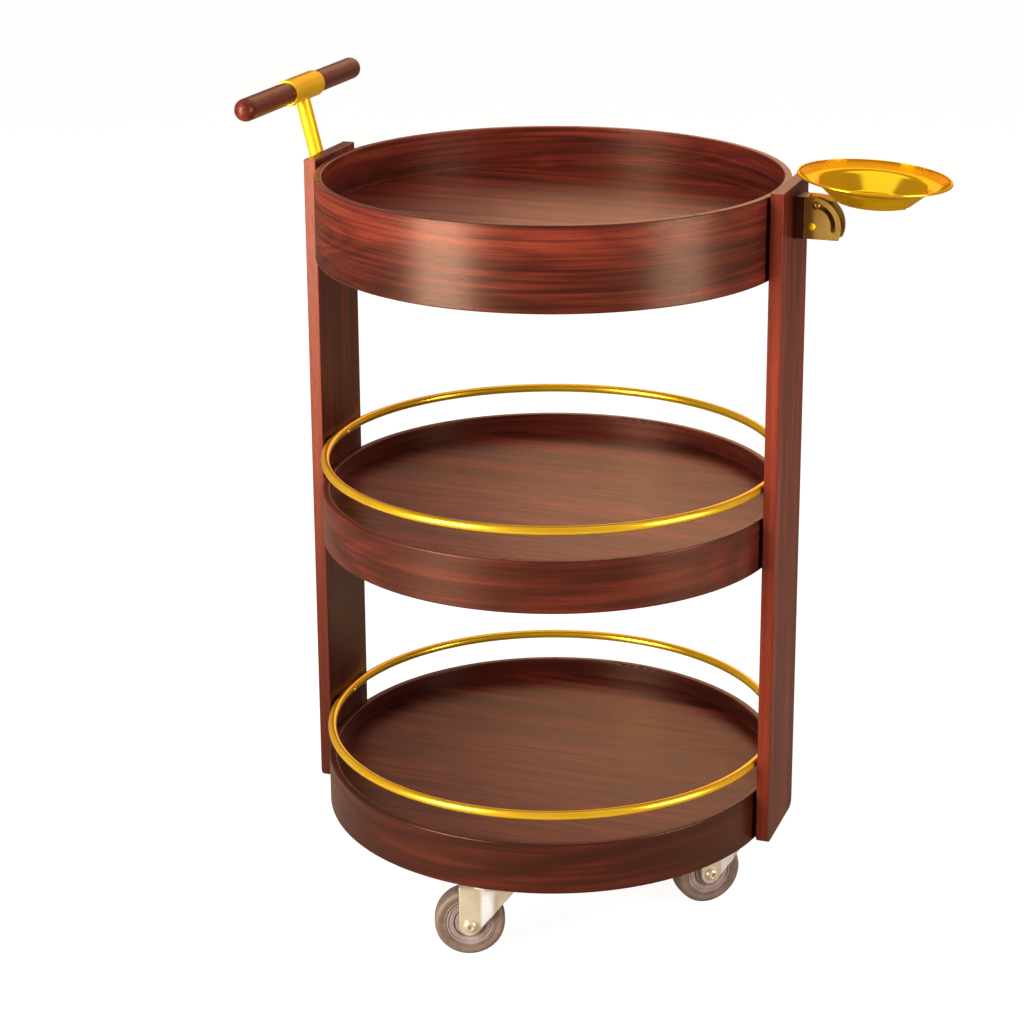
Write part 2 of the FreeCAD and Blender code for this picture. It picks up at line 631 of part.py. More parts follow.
def flush_screw(length):
    """A brass screw with a flat top and a conical head that sinks into its hole."""
    radius = size("brass_screw_diameter") / 2
    head = size("brass_screw_head")
    height = size("brass_screw_head_height")
    cone = Part.makeCone(radius, head / 2, height, Vector(0, 0, -height))
    shank = Part.makeCylinder(radius, length - 2 * radius, Vector(0, 0, 2 * radius - length))
    point = Part.makeCone(0, radius, 2 * radius, Vector(0, 0, -length))
    slot = driver_slot(2 * radius, head, height, -height * slot_depth_share)
    return shank.fuse([point, cone]).cut(slot)


def wood_screw(length):
    head, height = size("wood_screw_head"), size("wood_screw_head_height")
    return screw(size("wood_screw_diameter"), length, head, height)


def brass_screw(length):
    head, height = size("brass_screw_head"), size("brass_screw_head_height")
    return screw(size("brass_screw_diameter"), length, head, height)


def group(label, shape, places, stand):
    """One sub-part made of equal fasteners, each a separate solid at its own place."""
    made = doc.addObject("Part::Feature", label)
    solids = []
    for base, direction in places:
        copy = shape.copy()
        copy.Placement = FreeCAD.Placement(base, Rotation(Vector(0, 0, 1), direction))
        solids.append(copy)
    made.Shape = Part.makeCompound(solids)
    stand(made)
    keep(made, label)


def fasteners():
    """Every group of screws that holds the fixed pieces of the cart."""
    inward = {1: Vector(-1, 0, 0), -1: Vector(1, 0, 0)}
    places = []
    for tray in TRAYS:
        for side in (1, -1):
            for across in (1, -1):
                out, aside = side * size("hoop_screw_seat"), across * size("hoop_screw_spread")
                places.append((Vector(out, aside, size(f"{tray}_screw")), inward[side]))
    group("hoop_screws", wood_screw(size("hoop_screw_length")), places, on_tray_axis)

    places = []
    for tray in GUARDED:
        for side in (1, -1):
            places.append((Vector(side * size("guard_screw_seat"), 0, size(f"{tray}_guard")), inward[side]))
    group("guard_ring_screws", brass_screw(size("guard_screw_length")), places, on_tray_axis)

    corners = [(across, end) for across in (1, -1) for end in ("high", "low")]
    seat = -size("post_outer") - size("foot_thickness")
    places = [
        (Vector(seat, across * size("foot_screw_across"), size(f"foot_screw_{end}")), Vector(-1, 0, 0))
        for across, end in corners
    ]
    length = size("foot_thickness") + size("brass_screw_bite")
    group("handle_foot_screws", brass_screw(length), places, on_tray_axis)

    web = size("bracket_web")
    places = [(Vector(web, 0, size(f"bracket_screw_{end}")), Vector(1, 0, 0)) for end in ("high", "low")]
    group("dish_bracket_screws", flush_screw(size("bracket_screw_length")), places, on_tray_axis)

    under = size("grip_up") - size("collar_radius")
    places = [
        (Vector(-size("grip_out"), across * size("collar_screw_spread"), under), Vector(0, 0, -1))
        for across in (1, -1)
    ]
    length = size("collar_wall") + size("grip_radius") - size("screw_play")
    group("handle_collar_screws", brass_screw(length), places, on_tray_axis)

    spread = size("plate_screw_spread")
    ring = size("caster_circle")
    under = size("plate_under")
    places = [
        (Vector(ring * across + spread * x, ring * along + spread * y, under), Vector(0, 0, -1))
        for name, across, along in CASTERS for x in (1, -1) for y in (1, -1)
    ]
    group("caster_plate_screws", wood_screw(size("plate_screw_length")), places, on_tray_axis)


# Handle

def handle_stem():
    """A foot plate on the post's outer face, and a round stem that bends outward above the post."""
    foot = doc.addObject("Part::Box", "StemFoot")
    bind(foot, "Length", "foot_thickness")
    bind(foot, "Width", "foot_width")
    bind(foot, "Height", "foot_height")
    bind(foot, "Placement.Base.x", "-(post_outer + foot_thickness)")
    bind(foot, "Placement.Base.y", "-foot_width / 2")
    bind(foot, "Placement.Base.z", "foot_low")

    tail = doc.addObject("Part::Cylinder", "StemTail")
    bind(tail, "Height", "stem_tail")
    bind(tail, "Placement.Base.z", "stem_bend - stem_tail")
    neck = doc.addObject("Part::Cylinder", "StemNeck")
    neck.Placement = FreeCAD.Placement(Vector(), Rotation(Vector(0, -1, 0), size("grip_offset") / 2))
    bind(neck, "Placement.Rotation.Angle", "atan((grip_out - stem_out) / (grip_up - stem_bend))")
    bind(neck, "Height", "sqrt((grip_out - stem_out) ^ 2 + (grip_up - stem_bend) ^ 2)")
    bind(neck, "Placement.Base.z", "stem_bend")
    elbow = doc.addObject("Part::Sphere", "StemElbow")
    bind(elbow, "Placement.Base.z", "stem_bend")
    end = doc.addObject("Part::Sphere", "StemEnd")
    bind(end, "Placement.Base.z", "stem_bend - stem_tail")
    for part in (tail, neck, elbow, end):
        bind(part, "Radius", "stem_radius")
        bind(part, "Placement.Base.x", "-stem_out")
    rod = doc.addObject("Part::MultiFuse", "StemRod")
    rod.Shapes = [foot, tail, neck, elbow, end]

    seat = doc.addObject("Part::Cylinder", "StemSeat")
    seat.Placement = FreeCAD.Placement(Vector(), Rotation(Vector(1, 0, 0), -90))
    bind(seat, "Radius", "collar_radius + glue_gap")
    bind(seat, "Height", "collar_length")
    bind(seat, "Placement.Base.x", "-grip_out")
    bind(seat, "Placement.Base.y", "-collar_length / 2")
    bind(seat, "Placement.Base.z", "grip_up")
    cuts = [seat]
    for across in ("foot_screw_across", "-foot_screw_across"):
        for up in ("foot_screw_high", "foot_screw_low"):
            hole = doc.addObject("Part::Cylinder", "FootHole")
            hole.Placement = FreeCAD.Placement(Vector(), Rotation(Vector(0, 1, 0), 90))
            bind(hole, "Radius", "brass_screw_hole")
            bind(hole, "Height", "foot_thickness + 2 * overrun")
            bind(hole, "Placement.Base.x", "-(post_outer + foot_thickness + overrun)")
            bind(hole, "Placement.Base.y", across)
            bind(hole, "Placement.Base.z", up)
            cuts.append(hole)
    tools = doc.addObject("Part::MultiFuse", "StemCuts")
    tools.Shapes = cuts
    stem = doc.addObject("Part::Cut", "Stem")
    stem.Base = rod
    stem.Tool = tools
    on_tray_axis(stem)
    keep(stem, "handle_stem")


def handle_collar():
    """The sleeve round the middle of the grip, slit along its top, on two screws from below."""
    body = new_body("handle_collar", on_tray_axis)
    section = new_sketch(body, "XZ_Plane")
    disc(section, "-grip_out", "grip_up", "collar_radius")
    disc(section, "-grip_out", "grip_up", "collar_bore")
    sleeve = pad(body, section, "collar_length", SideType="Symmetric")
    outer = size("collar_radius")
    centre = Vector(-size("grip_out"), 0, size("grip_up"))
    round_edges(body, sleeve, "collar_rounding", lambda edge: every_point(
        edge, lambda p: near(abs(complex(p.x - centre.x, p.z - centre.z)), outer)
        and near(abs(p.y), size("collar_length") / 2)))
    slit = new_sketch(body, "XY_Plane", out="grip_up")
    rectangle(slit, "-slit_far", "-slit_near", "-slit_half", "slit_half")
    pocket(body, slit, "collar_radius + overrun", Reversed=True)
    holes = new_sketch(body, "XY_Plane", out="grip_up")
    for spread in ("collar_screw_spread", "-collar_screw_spread"):
        disc(holes, "-grip_out", spread, "brass_screw_hole")
    pocket(body, holes, "collar_radius + overrun")


def handle_grip():
    """A round bar with domed ends, drilled for the collar's screws."""
    body = new_body("handle_grip", on_tray_axis)
    section = new_sketch(body, "XZ_Plane")
    disc(section, "-grip_out", "grip_up", "grip_radius")
    bar = pad(body, section, "grip_length", SideType="Symmetric")
    round_edges(body, bar, "grip_dome", lambda edge: every_point(
        edge, lambda p: near(abs(p.y), size("grip_length") / 2)))
    holes = new_sketch(body, "XY_Plane", out="grip_up")
    for spread in ("collar_screw_spread", "-collar_screw_spread"):
        disc(holes, "-grip_out", spread, "brass_screw_hole")
    pocket(body, holes, "grip_radius + overrun")


# Drop-down dish

def dish_block():
    """The wooden block that holds the bracket away from the post."""
    body = new_body("dish_block", on_tray_axis)
    face = new_sketch(body, "YZ_Plane", out="post_outer")
    rectangle(face, "-block_half_width", "block_half_width", "sector_low", "sector_top")
    block = pad(body, face, "block_thickness")
    back = size("bracket_back")
    round_edges(body, block, "block_rounding", lambda edge: every_point(edge, lambda p: near(p.x, back)))
    holes = new_sketch(body, "YZ_Plane", out="bracket_back")
    disc(holes, "0", "bracket_screw_high", "brass_screw_hole")
    disc(holes, "0", "bracket_screw_low", "brass_screw_hole")
    pocket(body, holes, "block_thickness + overrun")


def dish_bracket():
    """A back and two sector plates with curved slots round the pivot, bent from one brass sheet."""
    body = new_body("dish_bracket", on_tray_axis)
    block = new_sketch(body, "XZ_Plane")
    rectangle(block, "bracket_back", "pivot_out", "sector_low", "sector_top")
    pad(body, block, "2 * sector_half_width", SideType="Symmetric")
    fan = new_sketch(body, "XZ_Plane")
    disc(fan, "pivot_out", "pivot_up", "sector_radius")
    pad(body, fan, "2 * sector_half_width", SideType="Symmetric")
    waste = new_sketch(body, "XZ_Plane")
    rectangle(waste, "post_cut_in", "bracket_back", "sector_cut_low", "sector_cut_top")
    pocket(body, waste, "2 * slot_cut_half", SideType="Symmetric")
    below = new_sketch(body, "XZ_Plane")
    rectangle(below, "post_cut_in", "sector_end", "sector_cut_low", "sector_low")
    pocket(body, below, "2 * slot_cut_half", SideType="Symmetric")
    gap = new_sketch(body, "XZ_Plane")
    rectangle(gap, "bracket_web", "sector_end", "sector_cut_low", "sector_cut_top")
    pocket(body, gap, "sector_gap", SideType="Symmetric")
    for end in ("bracket_screw_high", "bracket_screw_low"):
        sink = new_sketch(body, "XZ_Plane", up=end)
        outline(
            sink, ("post_outer", "0"), ("bracket_web", "0"), ("bracket_web", "bracket_screw_head"),
            ("bracket_screw_neck", "brass_screw_hole"), ("post_outer", "brass_screw_hole"),
        )
        turn(body, sink, "H_Axis", "Groove")
    pivot_hole = new_sketch(body, "XZ_Plane")
    disc(pivot_hole, "pivot_out", "pivot_up", "pivot_pin_radius")
    pocket(body, pivot_hole, "2 * slot_cut_half", SideType="Symmetric")
    slot_ends = new_sketch(body, "XZ_Plane")
    disc(slot_ends, "slot_from_out", "slot_from_up", "slot_half")
    disc(slot_ends, "slot_to_out", "slot_to_up", "slot_half")
    pocket(body, slot_ends, "2 * slot_cut_half", SideType="Symmetric")
    slot = new_sketch(body, "YZ_Plane")
    slot.AttachmentOffset = FreeCAD.Placement(Vector(), Rotation(Vector(1, 0, 0), -size("slot_from")))
    bind(slot, "AttachmentOffset.Rotation.Angle", "slot_from")
    bind(slot, "AttachmentOffset.Base.y", "pivot_up")
    bind(slot, "AttachmentOffset.Base.z", "pivot_out")
    rectangle(slot, "-slot_cut_half", "slot_cut_half", "slot_inner", "slot_outer")
    curve = turn(body, slot, "H_Axis", "Groove")
    bind(curve, "Angle", "dish_swing")


def pin(label, radius, span, stand):
    """A pin along Y, headed at both ends. span is the length between the heads."""
    reach = span / 2
    shank = Part.makeCylinder(radius, span, Vector(0, -reach, 0), Vector(0, 1, 0))
    head = dome(size("pin_head_diameter") / 2, size("pin_head_height"))
    heads = []
    for side in (1, -1):
        copy = head.copy()
        facing = Rotation(Vector(0, 0, 1), Vector(0, side, 0))
        copy.Placement = FreeCAD.Placement(Vector(0, side * reach, 0), facing)
        heads.append(copy)
    made = doc.addObject("Part::Feature", label)
    made.Shape = shank.fuse(heads)
    stand(made)
    keep(made, label)
    return made


def dish_pins():
    """The fixed pivot pin, and the guide pin that moves with the arm."""
    across_plates = 2 * size("sector_half_width")
    pivot = pin("dish_pivot_pin", size("pivot_pin_radius"), across_plates, on_tray_axis)
    bind(pivot, "Placement.Base.x", "axis_x + pivot_out")
    bind(pivot, "Placement.Base.z", "pivot_up")
    guide = pin("dish_guide_pin", size("guide_pin_radius"), across_plates + 2 * size("free_gap"), on_pivot)
    bind(guide, "Placement.Base.x", "axis_x + slot_from_out")
    bind(guide, "Placement.Base.z", "slot_from_up")


def dish_arm():
    """The leg between the sector plates and the strap that carries the dish."""
    body = new_body("dish_arm", on_pivot)
    leg = new_sketch(body, "XZ_Plane")
    outline(
        leg, ("-arm_back", "0"), ("arm_front", "0"), ("arm_front", "strap_lift"),
        ("strap_reach", "strap_lift"), ("strap_reach", "strap_top"), ("-arm_back", "strap_top"),
    )
    bar = pad(body, leg, "arm_width", SideType="Symmetric")
    eye = new_sketch(body, "XZ_Plane")
    disc(eye, "0", "0", "arm_eye_radius")
    bar = pad(body, eye, "arm_width", SideType="Symmetric")
    round_edges(body, bar, "strap_end_round", lambda edge: every_point(
        edge, lambda p: near(p.x, size("strap_reach")) and near(abs(p.y), size("arm_width") / 2)))
    pins = new_sketch(body, "XZ_Plane")
    disc(pins, "0", "0", "pivot_bore")
    disc(pins, "guide_out", "guide_up", "guide_pin_radius")
    pocket(body, pins, "arm_width + overrun", SideType="Symmetric")
    rivets = new_sketch(body, "XY_Plane", out="strap_lift")
    disc(rivets, "rivet_near", "0", "rivet_radius")
    disc(rivets, "rivet_far", "0", "rivet_radius")
    pocket(body, rivets, "strap_thickness + overrun", Reversed=True)


def brass_dish():
    """A spun dish: flat bottom, steep wall, wide flange and a bead round the rim."""
    body = new_body("brass_dish", on_pivot)
    section = new_sketch(body, "XZ_Plane", across="dish_along")
    outline(
        section, ("0", "strap_top"), ("dish_base_radius", "strap_top"), ("dish_break_radius", "dish_break"),
        ("dish_bead_radius", "dish_flange_under"), ("dish_bead_radius", "dish_flange_over"),
        ("dish_break_inner", "dish_break_floor"),
        ("dish_base_inner", "dish_floor"), ("0", "dish_floor"),
    )
    turn(body, section)
    bead = new_sketch(body, "XZ_Plane", across="dish_along")
    disc(bead, "dish_bead_radius", "dish_bead_up", "dish_bead")
    turn(body, bead)
    holes = new_sketch(body, "XY_Plane", out="strap_top")
    disc(holes, "rivet_near", "0", "rivet_radius")
    disc(holes, "rivet_far", "0", "rivet_radius")
    pocket(body, holes, "dish_sheet + overrun", Reversed=True)


def dish_rivets():
    """Two rivets through the strap and the dish, with a domed head inside the dish."""
    depth = size("strap_thickness") + size("dish_sheet")
    shank = Part.makeCylinder(size("rivet_radius"), depth, Vector(0, 0, -depth))
    rivet = shank.fuse(dome(size("rivet_head") / 2, size("rivet_head_height")))
    up = size("dish_floor")
    places = [(Vector(size(name), 0, up), Vector(0, 0, 1)) for name in ("rivet_near", "rivet_far")]
    group("dish_rivets", rivet, places, on_pivot)


# Casters

def caster_plate(spot):
    body = new_body(f"caster_{spot[0]}_plate", on_spot(spot))
    square = new_sketch(body, "XY_Plane", out="plate_under")
    rectangle(square, "-plate_half", "plate_half", "-plate_half", "plate_half")
    plate = pad(body, square, "plate_thickness")
    round_edges(body, plate, "plate_corner", lambda edge: every_point(
        edge, lambda p: near(abs(p.x), size("plate_half")) and near(abs(p.y), size("plate_half"))))
    holes = new_sketch(body, "XY_Plane", out="plate_top")
    disc(holes, "0", "0", "kingpin_radius")
    for across in ("plate_screw_spread", "-plate_screw_spread"):
        for along in ("plate_screw_spread", "-plate_screw_spread"):
            disc(holes, across, along, "wood_screw_hole")
    pocket(body, holes, "plate_thickness + overrun")


def caster_race(spot):
    """The housing of the swivel's balls, between the plate and the fork's crown."""
    body = new_body(f"caster_{spot[0]}_race", on_spot(spot))
    section = new_sketch(body, "XZ_Plane")
    outline(
        section, ("kingpin_radius", "race_low"), ("race_radius", "race_low"), ("race_radius", "race_step"),
        ("race_neck", "plate_under"), ("kingpin_radius", "plate_under"),
    )
    turn(body, section)


def caster_kingpin(spot):
    """The rivet that the fork swivels on, headed below the crown."""
    body = new_body(f"caster_{spot[0]}_kingpin", on_spot(spot))
    section = new_sketch(body, "XZ_Plane")
    outline(
        section, ("0", "kingpin_head_low"), ("kingpin_head_radius", "kingpin_head_low"),
        ("kingpin_head_radius", "kingpin_head_top"), ("kingpin_radius", "kingpin_head_top"),
        ("kingpin_radius", "plate_top"), ("0", "plate_top"),
    )
    turn(body, section)


def caster_fork(spot):
    """Pressed steel: a round crown and two legs that taper back to the axle."""
    body = new_body(f"caster_{spot[0]}_fork", on_swivel(spot))
    legs = new_sketch(body, "XZ_Plane")
    outline(
        legs, ("leg_back", "axle_up"), ("leg_back", "crown_top"), ("-crown_radius", "crown_top"),
        ("-crown_radius", "crown_front"), ("leg_tangent_out", "leg_tangent_up"),
    )
    pad(body, legs, "2 * fork_outer_half", SideType="Symmetric")
    ends = new_sketch(body, "XZ_Plane")
    disc(ends, "caster_trail", "axle_up", "leg_end_radius")
    pad(body, ends, "2 * fork_outer_half", SideType="Symmetric")
    crown = new_sketch(body, "XY_Plane", out="crown_under")
    disc(crown, "0", "0", "crown_radius")
    pad(body, crown, "fork_sheet")
    inside = new_sketch(body, "XZ_Plane")
    rectangle(inside, "-leg_cut_front", "leg_cut_back", "leg_cut_low", "crown_under")
    pocket(body, inside, "2 * fork_inner_half", SideType="Symmetric")
    axle_hole = new_sketch(body, "XZ_Plane")
    disc(axle_hole, "caster_trail", "axle_up", "axle_radius")
    pocket(body, axle_hole, "2 * fork_outer_half + overrun", SideType="Symmetric")
    pin_hole = new_sketch(body, "XY_Plane", out="crown_top")
    disc(pin_hole, "0", "0", "kingpin_bore")
    pocket(body, pin_hole, "fork_sheet + overrun")


def along_axle(thing, start):
    """Lays a part made round +Z along the axle, from a place given by a formula."""
    thing.Placement = FreeCAD.Placement(Vector(), Rotation(Vector(1, 0, 0), -90))
    bind(thing, "Placement.Base.x", "caster_trail")
    bind(thing, "Placement.Base.y", start)
    bind(thing, "Placement.Base.z", "axle_up")


def caster_axle(spot):
    """A bolt along the axle, with its head outside one leg."""
    shank = doc.addObject("Part::Cylinder", "AxleShank")
    bind(shank, "Radius", "axle_radius")
    bind(shank, "Height", "2 * fork_outer_half + hexagon_height + axle_end")
    along_axle(shank, "-(fork_outer_half + hexagon_height + axle_end)")
    head = doc.addObject("Part::Prism", "AxleHead")
    head.Polygon = 6
    bind(head, "Circumradius", "hexagon_circumradius")
    bind(head, "Height", "hexagon_height")
    along_axle(head, "fork_outer_half")
    bolt = doc.addObject("Part::MultiFuse", "AxleBolt")
    bolt.Shapes = [shank, head]
    on_swivel(spot)(bolt)
    keep(bolt, f"caster_{spot[0]}_axle")


def caster_nut(spot):
    body = doc.addObject("Part::Prism", "NutBody")
    body.Polygon = 6
    bind(body, "Circumradius", "hexagon_circumradius")
    bind(body, "Height", "hexagon_height")
    along_axle(body, "-(fork_outer_half + hexagon_height)")
    hole = doc.addObject("Part::Cylinder", "NutHole")
    bind(hole, "Radius", "axle_radius")
    bind(hole, "Height", "hexagon_height + 2 * overrun")
    along_axle(hole, "-(fork_outer_half + hexagon_height + overrun)")
    nut = doc.addObject("Part::Cut", "Nut")
    nut.Base = body
    nut.Tool = hole
    on_swivel(spot)(nut)
    keep(nut, f"caster_{spot[0]}_nut")


def caster_hub(spot):
    """A moulded hub with ringed faces and a boss that runs on the axle."""
    body = new_body(f"caster_{spot[0]}_hub", on_swivel(spot))
    section = new_sketch(body, "YZ_Plane", up="axle_up", out="caster_trail")
    near_side = (
        ("boss_half", "hub_bore"), ("boss_half", "boss_radius"), ("hub_face_half", "boss_radius"),
        ("hub_face_half", "hub_ring_inner"), ("hub_groove_half", "hub_ring_inner"),
        ("hub_groove_half", "hub_ring_radius"), ("hub_face_half", "hub_ring_radius"),
        ("hub_face_half", "hub_face_outer"), ("hub_groove_half", "hub_face_outer"),
        ("hub_groove_half", "hub_rim_inner"), ("hub_rim_half", "hub_rim_inner"),
        ("hub_rim_half", "hub_radius"),
    )
    far_side = tuple(("-" + across, up) for across, up in reversed(near_side))
    outline(section, *near_side, *far_side)
    turn(body, section, "H_Axis")


def caster_tyre(spot):
    body = new_body(f"caster_{spot[0]}_tyre", on_swivel(spot))
    section = new_sketch(body, "YZ_Plane", up="axle_up", out="caster_trail")
    rectangle(section, "-tyre_half", "tyre_half", "hub_radius", "axle_up")
    tyre = turn(body, section, "H_Axis")
    axle = Vector(size("caster_trail"), 0, size("axle_up"))
    round_edges(body, tyre, "tyre_rounding", lambda edge: every_point(
        edge, lambda p: near(abs(complex(p.x - axle.x, p.z - axle.z)), size("axle_up"))
        and near(abs(p.y), size("tyre_half"))))


def caster_pads():
    """Four blocks under the bottom floor, one over each caster plate, drilled for the plate screws."""
    height = size("bottom_under") - size("plate_top")
    side = size("plate_side") + 2 * size("pad_margin")
    block = Part.makeBox(side, side, height, Vector(-side / 2, -side / 2, 0))
    upright = [edge for edge in block.Edges if near(abs(edge.tangentAt(edge.FirstParameter).z), 1)]
    block = block.makeFillet(size("pad_rounding"), upright)
    spread = size("plate_screw_spread")
    depth = size("plate_screw_length") - size("plate_thickness") + size("screw_play")
    holes = [
        Part.makeCylinder(size("wood_screw_hole"), depth, Vector(spread * x, spread * y, 0))
        for x in (1, -1) for y in (1, -1)
    ]
    block = block.cut(holes)
    ring = size("caster_circle")
    places = [(Vector(ring * x, ring * y, size("plate_top")), Vector(0, 0, 1)) for name, x, y in CASTERS]
    group("caster_pads", block, places, on_tray_axis)


def build():
    for tray in TRAYS:
        tray_hoop(tray)
        tray_floor(tray)
    post("left_post", -1)
    post("right_post", 1)
    for tray in GUARDED:
        guard_ring(tray)
    fasteners()
    handle_stem()
    handle_collar()
    handle_grip()
    dish_block()
    dish_bracket()
    dish_pins()
    dish_arm()
    brass_dish()
    dish_rivets()
    caster_pads()
    for spot in CASTERS:
        caster_plate(spot)
        caster_race(spot)
        caster_kingpin(spot)
        caster_fork(spot)
        caster_axle(spot)
        caster_nut(spot)
        caster_hub(spot)
        caster_tyre(spot)
    doc.recompute()


def check():
    """Stops with a message if any object failed or any sub-part has no valid shape."""
    for thing in doc.Objects:
        if "Invalid" in thing.State or "Error" in thing.State:
            raise SystemExit(f"{thing.Name} of {thing.Label} failed: {thing.State}")
    for piece in pieces:
        if piece.Shape.isNull() or not piece.Shape.isValid():
            raise SystemExit(f"{piece.Label} has no valid shape")
        if not piece.Shape.Solids:
            raise SystemExit(f"{piece.Label} has no solid")


def write():
    os.makedirs("parts", exist_ok=True)
    for piece in pieces:
        piece.Shape.exportStep(f"parts/{piece.Label}.step")
        box = piece.Shape.BoundBox
        low = f"{box.XMin:.1f} {box.YMin:.1f} {box.ZMin:.1f}"
        high = f"{box.XMax:.1f} {box.YMax:.1f} {box.ZMax:.1f}"
        solids, volume = len(piece.Shape.Solids), piece.Shape.Volume
        print(f"{piece.Label}: {solids} solids, {volume:.0f} mm3, {low} to {high}")


fill_sheet()
build()
check()
write()
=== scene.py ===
# %% [markdown]
# # A round bar cart
#
# Three round wooden trays hang between two posts, with brass guard rings, a brass handle on the left,
# a small brass dish that folds down on the right, and four swivel casters. The construction model gives
# every solid piece in its right place. This lesson dresses it: some pieces only need a finish, and others
# are made again as finer surfaces, because pressed steel, spun brass and moulded rubber have soft edges
# that a construction model leaves out. All lengths are in metres.

# %% Load the construction model
import bmesh
import bpy
import json
import math
import numpy as np
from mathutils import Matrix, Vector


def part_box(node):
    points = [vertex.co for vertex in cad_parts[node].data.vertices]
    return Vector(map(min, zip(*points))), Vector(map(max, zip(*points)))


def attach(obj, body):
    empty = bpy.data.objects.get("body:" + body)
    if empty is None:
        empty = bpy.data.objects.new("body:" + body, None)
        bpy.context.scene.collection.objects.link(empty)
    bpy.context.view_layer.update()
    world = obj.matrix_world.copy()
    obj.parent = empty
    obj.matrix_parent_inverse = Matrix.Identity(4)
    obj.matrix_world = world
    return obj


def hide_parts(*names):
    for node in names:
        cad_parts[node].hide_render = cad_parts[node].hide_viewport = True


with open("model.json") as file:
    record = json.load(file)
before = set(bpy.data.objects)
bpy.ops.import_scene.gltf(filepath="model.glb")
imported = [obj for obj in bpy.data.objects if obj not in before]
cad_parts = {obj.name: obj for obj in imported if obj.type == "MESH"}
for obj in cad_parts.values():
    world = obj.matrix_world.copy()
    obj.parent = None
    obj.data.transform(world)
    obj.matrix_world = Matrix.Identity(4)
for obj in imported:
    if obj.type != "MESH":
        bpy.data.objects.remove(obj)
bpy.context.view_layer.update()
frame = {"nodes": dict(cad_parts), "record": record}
mm = 0.001
print("pieces in the construction model:", len(frame["nodes"]))

# %% [markdown]
# ## The camera
#
# The picture shows the cart from a standing person's height, a little from the right, with a long lens.
# A camera has a place, a direction, a focal length and a small sideways and upward shift. They were found
# by matching the ellipses of the rims and the edges of the posts, so here they are plain numbers: two
# angles in radians, three lengths in metres, and the lens and its shifts as shares of the frame's width.
# The camera stands on a line that leaves the trays' own axis, and tilts down towards the middle tray.

# %% Camera
low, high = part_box("top_hoop")
tray_axis = (low.x + high.x) / 2
view_turn = 0.3333
view_pitch = 0.2936
view_distance = 2.6634
view_side = 0.0104
view_height = 1.3728
frame_width = 1024
lens_in_frame_widths = 2589.19 / frame_width
optical_centre = 562.81

lens = bpy.data.cameras.new("photo_camera")
camera = bpy.data.objects.new("photo_camera", lens)
bpy.context.scene.collection.objects.link(camera)
bpy.context.scene.camera = camera
turn_sine, turn_cosine = math.sin(view_turn), math.cos(view_turn)
camera.location = (
    tray_axis + turn_cosine * view_side + turn_sine * view_distance,
    turn_sine * view_side - turn_cosine * view_distance,
    view_height,
)
camera.rotation_euler = (math.pi / 2 - view_pitch, 0, view_turn)
lens.sensor_width = 36
lens.lens = lens.sensor_width * lens_in_frame_widths
lens.shift_x = (frame_width / 2 - optical_centre) / frame_width
lens.shift_y = -0.12
lens.clip_end = 100
print("camera at", [round(value, 3) for value in camera.location], "lens", round(lens.lens, 1), "mm")

# %% [markdown]
# ## The light
#
# Lacquered wood and polished brass show the lamps more than their own colour. The picture has one broad
# bright stripe down the left of every hoop and a weaker one on the right, and a hoop is a mirror bent
# round: a stripe that stands a certain angle off the line of sight comes from a lamp at twice that angle.
# So two tall soft panels stand on the floor, one to the left in front and one to the right, a third is
# overhead, and a fourth stands behind and puts the pale sheen on the level surfaces.

# %% Soft panels


def panel(name, azimuth, distance, foot, head, width, radiance, tint=(1, 1, 1)):
    """A tall soft lamp that faces the cart. Its azimuth is counted from the front, to the right."""
    made = bpy.data.lights.new(name, "AREA")
    made.shape = "RECTANGLE"
    made.size = width
    made.size_y = head - foot
    made.energy = radiance * math.pi * width * (head - foot)
    made.color = tint
    lamp = bpy.data.objects.new(name, made)
    bpy.context.scene.collection.objects.link(lamp)
    angle = math.radians(azimuth)
    lamp.location = (tray_axis + distance * math.sin(angle), -distance * math.cos(angle), (foot + head) / 2)
    lamp.rotation_euler = (math.pi / 2, 0, angle)
    lamp.visible_camera = False
    return lamp


warm = (1, 0.93, 0.84)
panel("key_panel", -31, 2.2, 0.02, 2.2, 1.0, 14.5, warm)
panel("side_panel", 78, 2.2, 0.02, 2.0, 1.0, 7.0, warm)
panel("back_panel", 187, 2.8, 0.3, 3.0, 1.5, 1.35, (1, 0.52, 0.28))
overhead = panel("overhead_panel", 0, 0.2, 2.2, 4.4, 2.0, 0.9, warm)
overhead.location = (tray_axis + 0.2, 0.5, 3.2)
overhead.rotation_euler = (0, 0, 0)

# %% [markdown]
# ## Node expressions
#
# A finish is a graph of small nodes. Wiring them one by one is slow to write and hard to read, so one
# class stands for a socket, and ordinary arithmetic on it adds the Math nodes. A second class holds one
# finish and has a single method for every other node. Numbers that don't vary over the surface are set
# straight on the shader.

# %% Sockets that can be added and multiplied


class Wire:
    """The output of a node inside a finish. Arithmetic on it adds Math nodes to the same finish."""

    def __init__(self, finish, socket):
        self.finish = finish
        self.socket = socket

    def maths(self, operation, *values):
        return self.finish.node("ShaderNodeMath", {"operation": operation}, dict(enumerate(values)))

    def __add__(self, other):
        return self.maths("ADD", self, other)

    def __sub__(self, other):
        return self.maths("SUBTRACT", self, other)

    def __mul__(self, other):
        return self.maths("MULTIPLY", self, other)

    def __truediv__(self, other):
        return self.maths("DIVIDE", self, other)

    def __rsub__(self, other):
        return self.maths("SUBTRACT", other, self)

    __radd__ = __add__

    def size(self):
        """The value without its sign."""
        return self.maths("ABSOLUTE", self)

    def between(self, low, high):
        """0 below low, 1 above high, and a soft step from one to the other."""
        settings = {"interpolation_type": "SMOOTHSTEP"}
        sockets = {"Value": self, "From Min": low, "From Max": high}
        return self.finish.node("ShaderNodeMapRange", settings, sockets)


